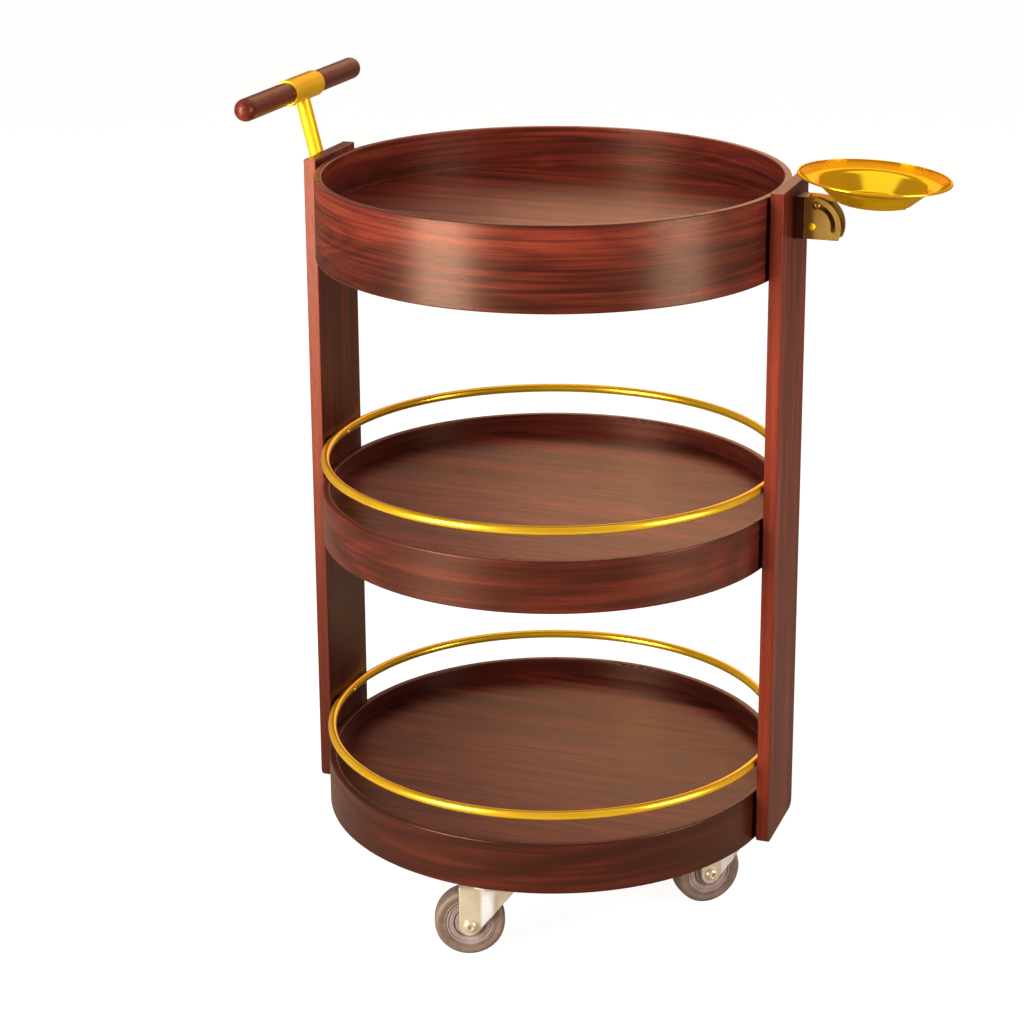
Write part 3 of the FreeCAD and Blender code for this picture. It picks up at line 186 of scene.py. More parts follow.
class Finish:
    """A material that is being wired: its nodes, and the main shader with its fixed numbers."""

    def __init__(self, name, **fixed):
        self.material = bpy.data.materials.new(name)
        self.material.use_nodes = True
        self.tree = self.material.node_tree
        self.shader = self.tree.nodes["Principled BSDF"]
        for socket, value in fixed.items():
            self.shader.inputs[socket.replace("_", " ")].default_value = value

    def node(self, kind, settings=None, sockets=None, output=0):
        """Adds a node: first its settings, then values or links for its sockets."""
        made = self.tree.nodes.new(kind)
        for name, value in (settings or {}).items():
            if name == "stops":
                stops(made.color_ramp, value)
            else:
                setattr(made, name, value)
        for name, value in (sockets or {}).items():
            if isinstance(value, Wire):
                self.tree.links.new(value.socket, made.inputs[name])
            else:
                made.inputs[name].default_value = value
        return Wire(self, made.outputs[output])

    def varies(self, socket, wire):
        self.tree.links.new(wire.socket, self.shader.inputs[socket])

    def blend(self, share, one, other):
        """Two colours mixed: the first where share is 0, the second where it is 1."""
        return self.node("ShaderNodeMix", {"data_type": "RGBA"}, {0: share, 6: one, 7: other}, 2)

    def ramp(self, value, *colours):
        return self.node("ShaderNodeValToRGB", {"stops": colours}, {"Fac": value})

    def place(self, scale=(1, 1, 1), move=(0, 0, 0), turn=(0, 0, 0), source="Object"):
        """Object coordinates, or the piece's own UV map, moved, turned and stretched."""
        where = self.node("ShaderNodeTexCoord", output={"UV": 2, "Object": 3}[source])
        sockets = {"Vector": where, "Location": move, "Rotation": turn, "Scale": scale}
        return self.node("ShaderNodeMapping", sockets=sockets)

    def part(self, direction, axis):
        """One number of a vector: 0 across, 1 from front to back, 2 up."""
        return self.node("ShaderNodeSeparateXYZ", sockets={0: direction}, output=axis)

    def noise(self, where, detail, roughness=0.5, distortion=0.0):
        sockets = {"Vector": where, "Scale": 1.0, "Detail": detail}
        sockets |= {"Roughness": roughness, "Distortion": distortion}
        return self.node("ShaderNodeTexNoise", sockets=sockets)

    def relief(self, height, depth, strength):
        """A bump: height runs from 0 to 1 and stands for a depth in metres."""
        sockets = {"Height": height, "Distance": depth, "Strength": strength}
        self.varies("Normal", self.node("ShaderNodeBump", sockets=sockets))


def stops(ramp, colours):
    """Gives a colour ramp its stops, each a place from 0 to 1 and a colour."""
    while len(ramp.elements) > 1:
        ramp.elements.remove(ramp.elements[-1])
    for index, (place, colour) in enumerate(colours):
        stop = ramp.elements[0] if index == 0 else ramp.elements.new(place)
        stop.position = place
        stop.color = (*colour, 1)


print("node kinds are added by Finish.node")

# %% [markdown]
# ## Rosewood
#
# The trays and posts are veneered with a dark red wood. Its grain is a set of long, thin streaks, nearly
# black in some places and brick red in others, with short fine pores between them. The same noise,
# stretched a hundred times more along the grain than across it, gives all of these. Round the hoops the
# grain lies level, on the posts it stands upright, and on the floors it runs from post to post. The lower
# trays get a darker and calmer grain than the top one, as painted shade for the light that falls off
# downwards, and the left post is painted darker towards its foot, also as painted shade. The narrow faces
# of the posts get a redder, lighter strip: partly an edge veneer, partly a painted highlight. A thin satin
# lacquer gives the broad soft stripes.

# %% Wood finish


grain_shades = (
    (0.10, (0.012, 0.0028, 0.0024)),
    (0.36, (0.058, 0.0095, 0.0065)),
    (0.52, (0.155, 0.0225, 0.0145)),
    (0.68, (0.300, 0.0440, 0.0245)),
    (0.90, (0.460, 0.1000, 0.0460)),
)
middle_shade = np.array((0.118, 0.0185, 0.0125))
# a redder, lighter strip: partly an edge veneer, partly a painted highlight on the faces that look to the front
# and back
edge_strip_and_highlight_red = (0.30, 0.040, 0.020, 1)
# painted shade: the colour a post darkens to at its foot
painted_foot_shade_colour = (0.022, 0.0045, 0.003, 1)
pore_black = (0.006, 0.002, 0.002, 1)
lacquer_tint = (1, 0.58, 0.36, 1)


def wood(name, along, shift, lightness, contrast, figure, edge_strip_and_highlight=0.0, shine=0.5, painted_foot_shade=0.0):
    """Streaks, bands and pores. along holds 1 for each axis that the grain runs along, and 0 across it.
    Contrast draws the shades of the grain towards the middle one: middle + contrast * (shade - middle).
    The edge strip share is how much of a redder, lighter strip goes on the faces that look to the front or
    back: partly an edge veneer, partly a painted highlight. The foot share is how much painted shade darkens
    the foot of a post against its head."""
    gloss = {"Specular_IOR_Level": shine, "Specular_Tint": lacquer_tint, "Coat_Roughness": 0.26, "Coat_IOR": 1.35}
    made = Finish(name, **gloss)
    shades = [
        (place, lightness * (middle_shade + contrast * (shade - middle_shade)))
        for place, shade in grain_shades
    ]

    def stretched(length, breadth):
        return made.place(tuple(1 / length if runs else 1 / breadth for runs in along), shift)

    bands = made.noise(stretched(0.55, 0.022), 3, 0.55, 0.4)
    streaks = made.noise(stretched(0.22, 0.0042), 4, 0.62, 0.2)
    threads = made.noise(stretched(0.05, 0.0011), 2, 0.6)
    sweep = made.noise(stretched(0.5, 0.09), 1, 0.5, 0.8)
    arches = (made.node("ShaderNodeMath", {"operation": "SINE"}, {0: sweep * 60 + bands * 9}) + 1) / 2
    tone = bands * 0.75 + streaks * 0.85 + threads * 0.25 - arches * figure * 0.28 - 0.38
    colour = made.ramp(tone, *shades)
    pores = made.noise(stretched(0.012, 0.00045), 1, 0.5).between(0.60, 0.72)
    # partly an edge veneer strip, partly a painted highlight: redder, lighter wood on the faces that look to the
    # front and back
    if edge_strip_and_highlight:
        facing_front = made.part(made.node("ShaderNodeNewGeometry", output=1), 1).size()
        colour = made.blend(facing_front.between(0.6, 0.8) * edge_strip_and_highlight, colour, edge_strip_and_highlight_red)
    # painted shade: the wood is painted darker towards the foot of the post
    if painted_foot_shade:
        height = made.part(made.node("ShaderNodeTexCoord", output=3), 2)
        colour = made.blend((1 - height.between(0.15, 0.75)) * painted_foot_shade, colour, painted_foot_shade_colour)
    made.varies("Base Color", made.blend(pores * 0.55, colour, pore_black))
    made.varies("Roughness", 0.28 + streaks * 0.10 + pores * 0.12)
    made.varies("Coat Weight", 0.16 - pores * 0.12)
    made.relief(streaks * 0.4 - pores * 0.9, 0.00005, 0.35)
    return made.material


trays = ("top", "middle", "bottom")
round_grain, left_right_grain, upright_grain, front_back_grain = (1, 1, 0), (1, 0, 0), (0, 0, 1), (0, 1, 0)
# lightness, contrast and figure for each tray: the lower trays are darker and calmer as painted shade for the
# light that falls off downwards
hoop_veneer_and_shade = {"top": (0.68, 0.85, 0.3), "middle": (0.52, 0.65, 0.5), "bottom": (0.38, 0.50, 1.1)}
floor_veneer_and_shade = {"top": (0.88, 0.95, 0.3), "middle": (0.75, 0.95, 0.3), "bottom": (0.50, 0.95, 0.3)}
hoop_woods, floor_woods = {}, {}
for place, tray in enumerate(trays):
    shift = (0.13 * place, 0.0, 0.37 * place)
    hoop_woods[tray] = wood(f"{tray}_hoop_rosewood", round_grain, shift, *hoop_veneer_and_shade[tray])
for place, tray in enumerate(trays):
    shift = (0.3, 0.7 + 0.6 * place, 0.1)
    floor_woods[tray] = wood(f"{tray}_floor_rosewood", left_right_grain, shift, *floor_veneer_and_shade[tray])
# both posts get the edge strip with its painted highlight, and the left post gets painted shade towards its foot
left_post_wood = wood(
    "left_post_rosewood", upright_grain, (0.9, 0.2, 0.5), 0.74, 0.8, 0.2,
    edge_strip_and_highlight=0.4, shine=0.3, painted_foot_shade=0.75,
)
right_post_wood = wood(
    "right_post_rosewood", upright_grain, (0.5, 0.8, 0.1), 0.68, 0.8, 0.2,
    edge_strip_and_highlight=0.5, shine=0.25, painted_foot_shade=0.2,
)
grip_wood = wood("grip_rosewood", front_back_grain, (0.4, 0.4, 0.8), 0.8, 0.8, 0.1)
# much darker than the posts' wood, as painted shade for the dim gap between the post and the dish bracket; the
# caster pads are dressed with it too
block_wood = wood("block_rosewood", upright_grain, (0.2, 0.6, 0.3), 0.3, 0.8, 0.1)
print("woods:", sum("rosewood" in one.name for one in bpy.data.materials))

# %% [markdown]
# ## Brass, zinc, rubber and hub plastic
#
# Polished brass has hardly a pattern of its own: what makes it real is a faint cloudiness in the polish,
# very fine lines left by the buffing wheel and, on the rings, a clear lacquer. Zinc-plated steel is duller,
# with a mottled yellowish bloom, and on the raised ribs of the forks a near-white painted highlight stands
# in its place. The tyres are a brown-grey rubber with a little dust on it, and the hubs a paler moulded plastic.

# %% Metal and rubber finishes


brass_edge_tint = (1, 0.80, 0.34, 1)
# a near-white painted highlight for the pale stripe on the fork ribs
painted_highlight_zinc = (0.90, 0.96, 1.0, 1)


def brass(name, dark, pale, roughness, line_scale, source="Object", depth=0.000012, metal=1.0, lacquer=0.0):
    """Clear lacquer over the brass adds a second, colourless gloss, which makes its highlights creamy."""
    made = Finish(name, Metallic=metal, Specular_Tint=brass_edge_tint, Coat_Weight=lacquer, Coat_Roughness=0.12)
    clouds = made.noise(made.place((18, 18, 18)), 3, 0.55)
    lines = made.noise(made.place(line_scale, source=source), 1, 0.5)
    made.varies("Base Color", made.ramp(clouds, (0.30, dark), (0.70, pale)))
    made.varies("Roughness", roughness + clouds * 0.08 + lines * 0.06)
    made.relief(lines, depth, 0.5)
    return made.material


def zinc(name):
    """The plating has a yellowish bloom, and where the piece's point attribute is 1 a near-white painted
    highlight is painted over it.
    """
    made = Finish(name, Metallic=0.45)
    bloom = made.noise(made.place((160, 160, 160)), 3, 0.6)
    blotch = made.noise(made.place((35, 35, 35)), 2, 0.5)
    plated = made.ramp(blotch, (0.30, (0.62, 0.56, 0.42)), (0.70, (0.78, 0.72, 0.56)))
    # the point attribute marks where the near-white painted highlight goes
    rubbed = made.node("ShaderNodeAttribute", {"attribute_name": "rubbed"}, output=2)
    made.varies("Base Color", made.blend(rubbed, plated, painted_highlight_zinc))
    made.varies("Roughness", 0.24 + bloom * 0.18)
    made.relief(bloom, 0.00002, 0.4)
    return made.material


def moulded(name, dark, pale, roughness, grain):
    """Rubber or plastic: a fine moulded grain, a mottled colour and dull, dusty patches."""
    made = Finish(name, Specular_IOR_Level=0.5)
    dust = made.noise(made.place((60, 60, 60)), 4, 0.6)
    skin_grain = made.noise(made.place((grain, grain, grain)), 1, 0.5)
    made.varies("Base Color", made.ramp(dust, (0.30, dark), (0.72, pale)))
    made.varies("Roughness", roughness + dust * 0.2)
    made.relief(skin_grain, 0.00004, 0.5)
    return made.material


ring_brass = brass(
    "ring_brass", (0.91, 0.55, 0.018), (0.98, 0.66, 0.030), 0.17, (900, 900, 900),
    depth=0.000008, metal=0.70, lacquer=0.5,
)
fitting_brass = brass(
    "fitting_brass", (0.91, 0.59, 0.010), (0.98, 0.68, 0.016), 0.36, (300, 60, 900),
    metal=0.5, lacquer=0.15,
)
spun_brass = brass(
    "spun_brass", (0.92, 0.60, 0.014), (0.99, 0.69, 0.024), 0.11, (3, 260, 1), "UV",
    depth=0.000002, metal=0.86,
)
bracket_brass = brass("bracket_brass", (0.26, 0.15, 0.035), (0.40, 0.25, 0.060), 0.26, (200, 200, 1500))
plated_steel = zinc("zinc_plated_steel")
tyre_rubber = moulded("tyre_rubber", (0.125, 0.085, 0.066), (0.250, 0.178, 0.138), 0.42, 1800)
hub_plastic = moulded("hub_plastic", (0.260, 0.190, 0.190), (0.420, 0.325, 0.325), 0.34, 1200)
print("finishes so far:", len(bpy.data.materials))

# %% [markdown]
# ## The finishes go on
#
# A piece of the construction model keeps its shape and only gets its finish. The pieces that are made
# again further down are left out here.

# %% Dressing the pieces that stay


def dress(material, *names):
    for name in names:
        for one in frame["nodes"][name].material_slots:
            one.material = material


casters = ("front", "right", "back", "left")
for tray in trays:
    dress(hoop_woods[tray], f"{tray}_hoop")
    dress(floor_woods[tray], f"{tray}_floor")
dress(left_post_wood, "left_post")
dress(right_post_wood, "right_post")
dress(block_wood, "dish_block", "caster_pads")
dress(ring_brass, "middle_guard_ring", "bottom_guard_ring", "guard_ring_screws")
dress(fitting_brass, "handle_stem", "handle_collar", "handle_collar_screws", "handle_foot_screws")
dress(bracket_brass, "dish_bracket", "dish_arm", "dish_guide_pin", "dish_bracket_screws")
dress(fitting_brass, "dish_rivets", "dish_pivot_pin")
dress(plated_steel, "hoop_screws", "caster_plate_screws")
for caster in casters:
    dress(plated_steel, *(f"caster_{caster}_{piece}" for piece in ("plate", "race", "kingpin", "nut")))
print("pieces dressed:", sum(len(node.material_slots) > 0 for node in frame["nodes"].values()))

# %% [markdown]
# ## Turned and pressed pieces
#
# A wheel, a spun dish and a round grip all come off a machine that turns them, so each is one profile
# carried round an axis. The profile is a short list of corners, and every corner is softened, because a
# sharp edge catches no light and looks drawn. The surface is worked out as one array of points, profile by
# angle, and one function turns any such array into a mesh with its own UV map.

# %% Profiles, turned surfaces and meshes


def softened(corners, reach, steps=6):
    """Rounds the corners of a profile. Each corner becomes a parabola that leaves its two sides at the
    distance reach: (1 - t)^2 start + 2 t (1 - t) corner + t^2 end. One more point on each side, a little
    further off, keeps the straight stretches straight in smooth shading."""
    corners = np.array(corners, float) * mm
    reach = np.broadcast_to(np.array(reach, float) * mm, len(corners))[:, None]
    back = np.roll(corners, 1, axis=0) - corners
    forward = np.roll(corners, -1, axis=0) - corners
    back_length = np.linalg.norm(back, axis=1, keepdims=True)
    forward_length = np.linalg.norm(forward, axis=1, keepdims=True)
    start = corners + back * np.minimum(reach / back_length, 0.4)
    end = corners + forward * np.minimum(reach / forward_length, 0.4)
    before = corners + back * np.minimum(1.3 * reach / back_length, 0.48)
    after = corners + forward * np.minimum(1.3 * reach / forward_length, 0.48)
    t = np.linspace(0, 1, steps)[None, :, None]
    curve = (1 - t) ** 2 * start[:, None] + 2 * t * (1 - t) * corners[:, None] + t ** 2 * end[:, None]
    return np.concatenate([before[:, None], curve, after[:, None]], axis=1).reshape(-1, 2)


def turned(profile, centre, axis, steps=96):
    """A profile turned round an axis. Each of its points (along, out) gives, for each angle of the turn,
    centre + along * axis + out * (cos(angle) * side + sin(angle) * over)."""
    axis = np.array(axis, float)
    side = np.cross(axis, (0, 0, 1) if abs(axis[2]) < 0.9 else (0, 1, 0))
    side = side / np.linalg.norm(side)
    over = np.cross(axis, side)
    angle = np.linspace(0, 2 * np.pi, steps, endpoint=False)[:, None]
    spokes = np.cos(angle) * side + np.sin(angle) * over
    return np.array(centre) + profile[:, None, :1] * axis + profile[:, None, 1:] * spokes


def piece(name, grids, material, body, slot, stands_for, ring=False, rubbed=None):
    """One mesh of grids of points. The columns of a grid always close on themselves, and its rows do if it
    is a ring. U is the share of the way round, V the distance along the rows in metres. The last argument
    holds, for each point, how much of a painted highlight lies on the plating, from 0 to 1."""
    points, faces, places, count = [], [], [], 0
    for grid in grids:
        rows, columns = grid.shape[:2]
        index = np.arange(rows * columns).reshape(rows, columns) + count
        index = np.concatenate([index, index[:, :1]], axis=1)
        step = np.linalg.norm(np.diff(grid[:, 0], axis=0, append=grid[:1, 0]), axis=1)
        run = np.concatenate([[0], np.cumsum(step)])
        if ring:
            index = np.concatenate([index, index[:1]], axis=0)
        share = np.linspace(0, 1, columns + 1)
        place = np.stack(np.broadcast_arrays(share[None, :], run[: len(index), None]), axis=-1)
        for store, whole in ((faces, index), (places, place)):
            store.append(np.stack([whole[:-1, :-1], whole[:-1, 1:], whole[1:, 1:], whole[1:, :-1]], axis=2))
        points.append(grid.reshape(-1, 3))
        count += rows * columns
    mesh = bpy.data.meshes.new(name)
    quads = np.concatenate([one.reshape(-1, 4) for one in faces])
    mesh.from_pydata(np.concatenate(points).tolist(), [], quads.tolist())
    layer = mesh.uv_layers.new(name="UVMap")
    layer.data.foreach_set("uv", np.concatenate([one.reshape(-1, 2) for one in places]).ravel())
    if rubbed is not None:
        mesh.attributes.new("rubbed", "FLOAT", "POINT").data.foreach_set("value", rubbed)
    shell = bmesh.new()
    shell.from_mesh(mesh)
    bmesh.ops.remove_doubles(shell, verts=shell.verts, dist=1e-6)
    bmesh.ops.recalc_face_normals(shell, faces=shell.faces)
    open_edges = sum(len(edge.link_faces) != 2 for edge in shell.edges)
    shell.to_mesh(mesh)
    shell.free()
    mesh.shade_smooth()
    mesh.materials.append(material)
    made = bpy.data.objects.new(name, mesh)
    bpy.context.scene.collection.objects.link(made)
    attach(made, body)
    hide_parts(stands_for)
    print(name, len(mesh.polygons), "faces,", open_edges, "open edges")


joints = {joint["name"]: joint for joint in frame["record"]["behaviour"]["joints"]}
print("joints:", sorted(joints))

# %% [markdown]
# ## Wheels
#
# Each caster has a moulded plastic hub with a tyre of brown-grey rubber pressed over it. The hub has a
# broad outer band, a deep dark groove and a plain boss for the axle. The tyre's side has a narrow raised
# ring next to the hub, and its tread is slightly crowned with round shoulders. The axle's place and
# direction come from the joint that the wheel rolls on.

# %% Hubs and tyres
hub_corners = [
    (-13, 4.1), (13, 4.1), (13, 8.2), (10.4, 9), (10.4, 15.6), (8.4, 16), (8.4, 16.8), (10.4, 17.2),
    (10.9, 21.6), (10.0, 22), (10.0, 22.8), (11.3, 23.2), (11.3, 25),
]
hub_profile = hub_corners + [(-along, out) for along, out in reversed(hub_corners)][:-2]
tyre_side = [
    (-10.6, 25), (10.6, 25), (10.9, 25.6), (11.5, 25.9), (11.5, 27.4), (10.7, 27.9), (11.6, 31), (12, 33.5),
    (9.6, 36.9), (5, 37.45),
]
tyre_profile = tyre_side + [(0, 37.5)] + [(-along, out) for along, out in reversed(tyre_side)][:-2]
for caster in casters:
    joint = joints[f"wheel_{caster}_roll"]
    hub = turned(softened(hub_profile, 0.5, 4), joint["pos_m"], joint["axis"])
    piece(
        f"caster_{caster}_moulded_hub", [hub], hub_plastic,
        f"wheel_{caster}", "hub", f"caster_{caster}_hub", ring=True,
    )
    tyre = turned(softened(tyre_profile, 1.4, 6), joint["pos_m"], joint["axis"], 120)
    piece(
        f"caster_{caster}_soft_tyre", [tyre], tyre_rubber,
        f"wheel_{caster}", "tyre", f"caster_{caster}_tyre", ring=True,
    )

# %% [markdown]
# ## Axle bolts
#
# The axle is a bolt with a low round head on the side that shows, and a key hole sunk into the head. It is
# turned about the same axis as the wheel, so it stays in the middle of the fork's round ends.

# %% Bolts
bolt_corners = [
    (-24, 0), (-24, 4), (17, 4), (17, 7.0), (18.4, 7.3), (20.9, 5.6), (21.9, 3.4), (21.6, 2.7),
    (18.6, 2.6), (18.6, 0),
]
bolt_reaches = (0, 0.5, 0.2, 0.3, 0.6, 1.2, 0.3, 0.3, 0.2, 0)
for caster in casters:
    joint = joints[f"wheel_{caster}_roll"]
    bolt = turned(softened(bolt_corners, bolt_reaches, 5), joint["pos_m"], joint["axis"], 48)
    piece(
        f"caster_{caster}_bolt", [bolt], plated_steel,
        f"swivel_{caster}", "steel", f"caster_{caster}_axle",
    )

# %% [markdown]
# ## Caster forks
#
# A fork is pressed from one strip of steel: down one side of the wheel, over a round crown and down the
# other side. So it is a thin rounded section carried along a path like a bracket, and its width follows the
# height: full at the crown, then slanting back to a round end at the axle. A shallow upright rib is pressed
# into each leg to stiffen it, and a near-white painted highlight over the rib gives the pale stripe that
# such forks show. The numbers here are in millimetres, counted from the kingpin's axis and from the ground.

# %% Forks
leg_out, sheet_half, edge_round = 15.75, 1.25, 0.9
crown_up, crown_bend, axle_height, end_round, trail = 81.25, 4.5, 37.5, 11.5, 23.0
slant_up, slant_along = (30.1, 75.5), (14.2, -24.0)
back_edge = trail + end_round
rib_height, rib_foot, rib_rise, rib_fade = 3.0, 44, 12, 8
rib_start, rib_steep, rib_end, rib_slope = -5, 4, 12, 13
# where the painted highlight lies across the leg, and how soft its edges are
highlight_start, highlight_end, highlight_blur = -3.6, 11.6, 1.2
face_points, edge_points = 25, 5


def leg_width(up):
    """The front and back edge of a leg at a height: a round end about the axle, then a slanting front."""
    half_end = np.sqrt(np.maximum(end_round ** 2 - (up - axle_height) ** 2, 0.0))
    front = np.where(up < slant_up[0], trail - half_end, np.interp(up, slant_up, slant_along))
    back = np.where(up < axle_height, trail + half_end, back_edge)
    return front, back


def pressed_fork(pivot, heading):
    """The middle of the strip runs along a path (across, up) with the unit normal of the sheet beside it. A
    point of the section is middle of the width + share * half the width, and normal * thickness. The rib
    adds height * rise(up) * profile(along) to the thickness. The second array returned is a painted
    highlight: 1 on the rib and 0 elsewhere."""
    low_end = axle_height - end_round * np.cos(np.linspace(0, np.pi / 2, 16))
    leg = np.concatenate([low_end, np.linspace(axle_height, crown_up - crown_bend, 22)[1:]])
    turn = np.linspace(0, np.pi / 2, 9)[1:]
    bend_across = leg_out - crown_bend + crown_bend * np.cos(turn)
    bend_up = crown_up - crown_bend + crown_bend * np.sin(turn)
    across = np.concatenate([np.full(len(leg), leg_out), bend_across])
    up = np.concatenate([leg, bend_up])
    out_across = np.concatenate([np.ones(len(leg)), np.cos(turn)])
    out_up = np.concatenate([np.zeros(len(leg)), np.sin(turn)])
    flat = np.linspace(across[-1], -across[-1], 12)[1:-1]
    across = np.concatenate([across, flat, -across[::-1]])
    up = np.concatenate([up, np.full(len(flat), crown_up), up[::-1]])
    out_across = np.concatenate([out_across, np.zeros(len(flat)), -out_across[::-1]])
    out_up = np.concatenate([out_up, np.ones(len(flat)), out_up[::-1]])
    front, back = leg_width(up)
    middle = ((front + back) / 2)[:, None]
    half = np.maximum((back - front) / 2, edge_round)[:, None]

    share = np.linspace(-1, 1, face_points)
    quarter = np.linspace(0, np.pi / 2, edge_points)
    ends_x = np.cos(quarter)
    ends_n = np.sin(quarter)
    inner = sheet_half - edge_round
    level, edge = np.zeros(face_points), np.ones(2 * edge_points)
    offset = np.concatenate([share, edge, share[::-1], -edge])
    swell = np.concatenate([level, ends_x[::-1], ends_x, level, -ends_x[::-1], -ends_x])
    side = np.concatenate([
        level + sheet_half, inner + edge_round * ends_n[::-1], -inner - edge_round * ends_n,
        level - sheet_half, -inner - edge_round * ends_n[::-1], inner + edge_round * ends_n,
    ])
    along = middle + offset * (half - edge_round) + swell * edge_round
    rise = np.clip((up - rib_foot) / rib_rise, 0, 1) * np.clip((crown_up - crown_bend - up) / rib_fade, 0, 1)
    rib = np.clip((along - rib_start) / rib_steep, 0, 1) * np.clip((rib_end - along) / rib_slope, 0, 1)
    height = side + rib_height * rise[:, None] * rib
    place_across = across[:, None] + out_across[:, None] * height
    place_up = up[:, None] + out_up[:, None] * height
    ahead = np.array((math.cos(heading), math.sin(heading), 0.0))
    beside = np.array((math.sin(heading), -math.cos(heading), 0.0))
    upwards = np.array((0.0, 0.0, 1.0))
    grid = along[..., None] * ahead + place_across[..., None] * beside + place_up[..., None] * upwards
    caps = [np.broadcast_to(end.mean(axis=1, keepdims=True), end.shape) for end in (grid[:1], grid[-1:])]
    grid = np.concatenate([caps[0], grid, caps[1]])
    # painted highlight: 1 on the rib, fading at its edges
    rubbed = np.clip((along - highlight_start) / highlight_blur, 0, 1) * np.clip((highlight_end - along) / highlight_blur, 0, 1)
    return grid * mm + np.array((pivot[0], pivot[1], 0.0)), np.pad(rubbed, ((1, 1), (0, 0)))


crown_profile = softened([(79.9, 4.2), (82.5, 4.2), (82.5, 24), (79.9, 24)], 0.8, 5)
for caster in casters:
    swivel, roll = joints[f"swivel_{caster}_turn"], joints[f"wheel_{caster}_roll"]
    heading = math.atan2(-roll["axis"][0], roll["axis"][1])
    centre = (swivel["pos_m"][0], swivel["pos_m"][1], 0.0)
    crown = turned(crown_profile, centre, (0, 0, 1), 64)
    crown = np.concatenate([crown, crown[:1]])
    strip, rubbed = pressed_fork(centre, heading)
    rubbed = np.concatenate([rubbed.ravel(), np.zeros(crown.shape[0] * crown.shape[1])])
    piece(
        f"caster_{caster}_pressed_fork", [strip, crown], plated_steel,
        f"swivel_{caster}", "steel", f"caster_{caster}_fork", rubbed=rubbed,
    )

# %% [markdown]
# ## The dish
#
# The dish is spun from brass sheet over a former: a flat bottom, a steep wall, a wide sloping flange and a
# bead rolled round the rim. It is turned about its own middle, which leans a few degrees outwards with the
# strap that carries it. The UV map lets the buffing lines run round it.

# %% Spun dish
pivot = np.array(joints["dish_fold"]["pos_m"])
dish_out = 58 * mm
bead_up, bead_out, bead_round = 56.6, 77.2, 1.3
droop = math.radians(3.5)
outwards = np.array((math.cos(droop), 0.0, -math.sin(droop)))
upwards = np.array((math.sin(droop), 0.0, math.cos(droop)))
bead_angle = np.radians(np.linspace(-130, 150, 14))
bead = np.stack([bead_up + bead_round * np.sin(bead_angle), bead_out + bead_round * np.cos(bead_angle)], axis=1)
under = softened([(31.1, 0), (31.1, 38), (47.2, 56), (55.85, 76.2)], (0, 3.2, 3.2, 0), 9)
over = softened([(57.35, 76.2), (48.9, 55.4), (32.6, 37.2), (32.6, 0)], (0, 2.6, 2.6, 0), 9)
dish_grid = turned(np.concatenate([under, bead * mm, over]), pivot + dish_out * outwards, upwards, 144)
piece("spun_dish", [dish_grid], spun_brass, "dish", "brass", "brass_dish")

# %% [markdown]
# ## The grip
#
# The grip is a round bar turned from the same red wood, with domed ends. It is turned round a level axis
# that runs from front to back through the brass sleeve.

# %% Grip
low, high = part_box("handle_grip")
grip_middle = ((low + high) / 2)[:]
grip_radius = (high.z - low.z) / 2 / mm
grip_half = (high.y - low.y) / 2 / mm
dome = np.linspace(0, np.pi / 2, 14)
shank_half = grip_half - grip_radius
dome_profile = np.stack([shank_half + grip_radius * np.sin(dome), grip_radius * np.cos(dome)], axis=1)[::-1]
shank = np.linspace(shank_half, -shank_half, 40)[1:-1]
shank_profile = np.stack([shank, np.full(len(shank), grip_radius)], axis=1)
grip_profile = np.concatenate([dome_profile, shank_profile, (dome_profile * (-1, 1))[::-1]]) * mm
grip = turned(grip_profile, grip_middle, (0, 1, 0), 64)
piece("turned_grip", [grip], grip_wood, "cart", "wood", "handle_grip")

# %% [markdown]
# ## The floor
#
# The cart stands on a pale floor that carries on to the white behind it. The floor is a flat round sheet,
# far larger than the view. Seen directly it is nearly white, and in the polish of the metal it is a
# quieter grey, as in a studio where only the cut-out behind the object is white.

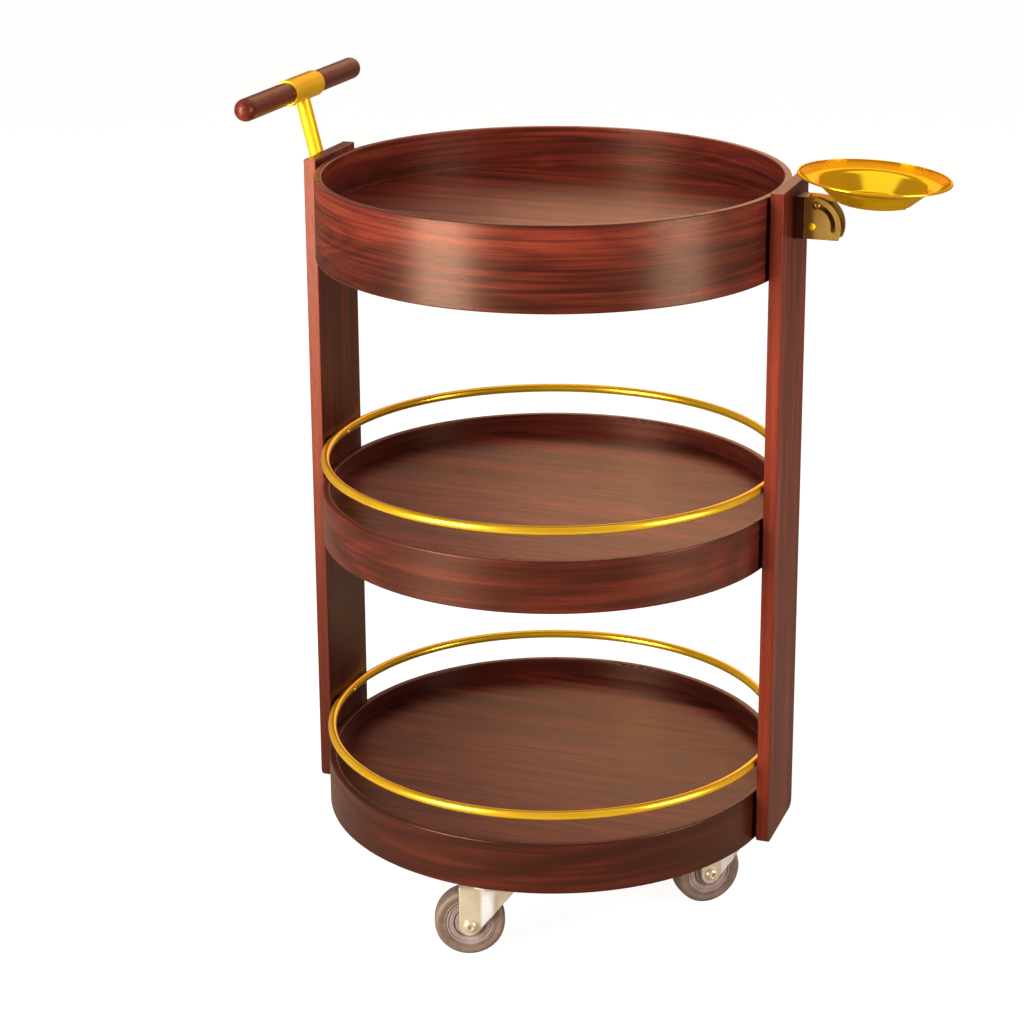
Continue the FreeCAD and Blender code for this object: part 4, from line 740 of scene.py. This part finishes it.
# %% Floor and backdrop
ground_radius, ground_sides = 30, 96
floor_lit, floor_lit_seen = (0.46, 0.40, 0.34, 1), (0.25, 0.25, 0.25, 1)
floor_glow, floor_glow_seen = (0, 0, 0, 1), (0.93, 0.93, 0.93, 1)
studio_front, studio_back, backdrop_white = (0.29, 0.193, 0.149, 1), (0.42, 0.265, 0.203, 1), (1, 1, 1, 1)
angles = np.linspace(0, 2 * np.pi, ground_sides, endpoint=False)
rim = np.stack([ground_radius * np.cos(angles), ground_radius * np.sin(angles), 0 * angles], axis=1)
ground_mesh = bpy.data.meshes.new("ground")
ground_mesh.from_pydata(rim.tolist(), [], [list(range(ground_sides))])
ground = bpy.data.objects.new("ground", ground_mesh)
bpy.context.scene.collection.objects.link(ground)

paint = Finish("floor_paint", Roughness=0.9, Specular_IOR_Level=0.0)
seen = paint.node("ShaderNodeLightPath", output=0)
paint.varies("Base Color", paint.blend(seen, floor_lit, floor_lit_seen))
paint.varies("Emission Color", paint.blend(seen, floor_glow, floor_glow_seen))
paint.shader.inputs["Emission Strength"].default_value = 1.0
ground_mesh.materials.append(paint.material)

world = bpy.data.worlds.new("studio")
bpy.context.scene.world = world
world.use_nodes = True
tree = world.node_tree
background = tree.nodes["Background"]
light_path = tree.nodes.new("ShaderNodeLightPath")
shade = tree.nodes.new("ShaderNodeMix")
shade.data_type = "RGBA"
direction = tree.nodes.new("ShaderNodeTexCoord")
split = tree.nodes.new("ShaderNodeSeparateXYZ")
tree.links.new(direction.outputs["Generated"], split.inputs[0])
backwards = tree.nodes.new("ShaderNodeMapRange")
backwards.interpolation_type = "SMOOTHSTEP"
backwards.inputs["From Min"].default_value = -0.1
backwards.inputs["From Max"].default_value = 0.7
tree.links.new(split.outputs["Y"], backwards.inputs["Value"])
surroundings = tree.nodes.new("ShaderNodeMix")
surroundings.data_type = "RGBA"
surroundings.inputs[6].default_value = studio_front
surroundings.inputs[7].default_value = studio_back
tree.links.new(backwards.outputs["Result"], surroundings.inputs[0])
tree.links.new(surroundings.outputs[2], shade.inputs[6])
shade.inputs[7].default_value = backdrop_white
tree.links.new(light_path.outputs["Is Camera Ray"], shade.inputs[0])
tree.links.new(shade.outputs[2], background.inputs["Color"])
bpy.context.scene.view_settings.view_transform = "Standard"
print("floor radius:", ground_radius)
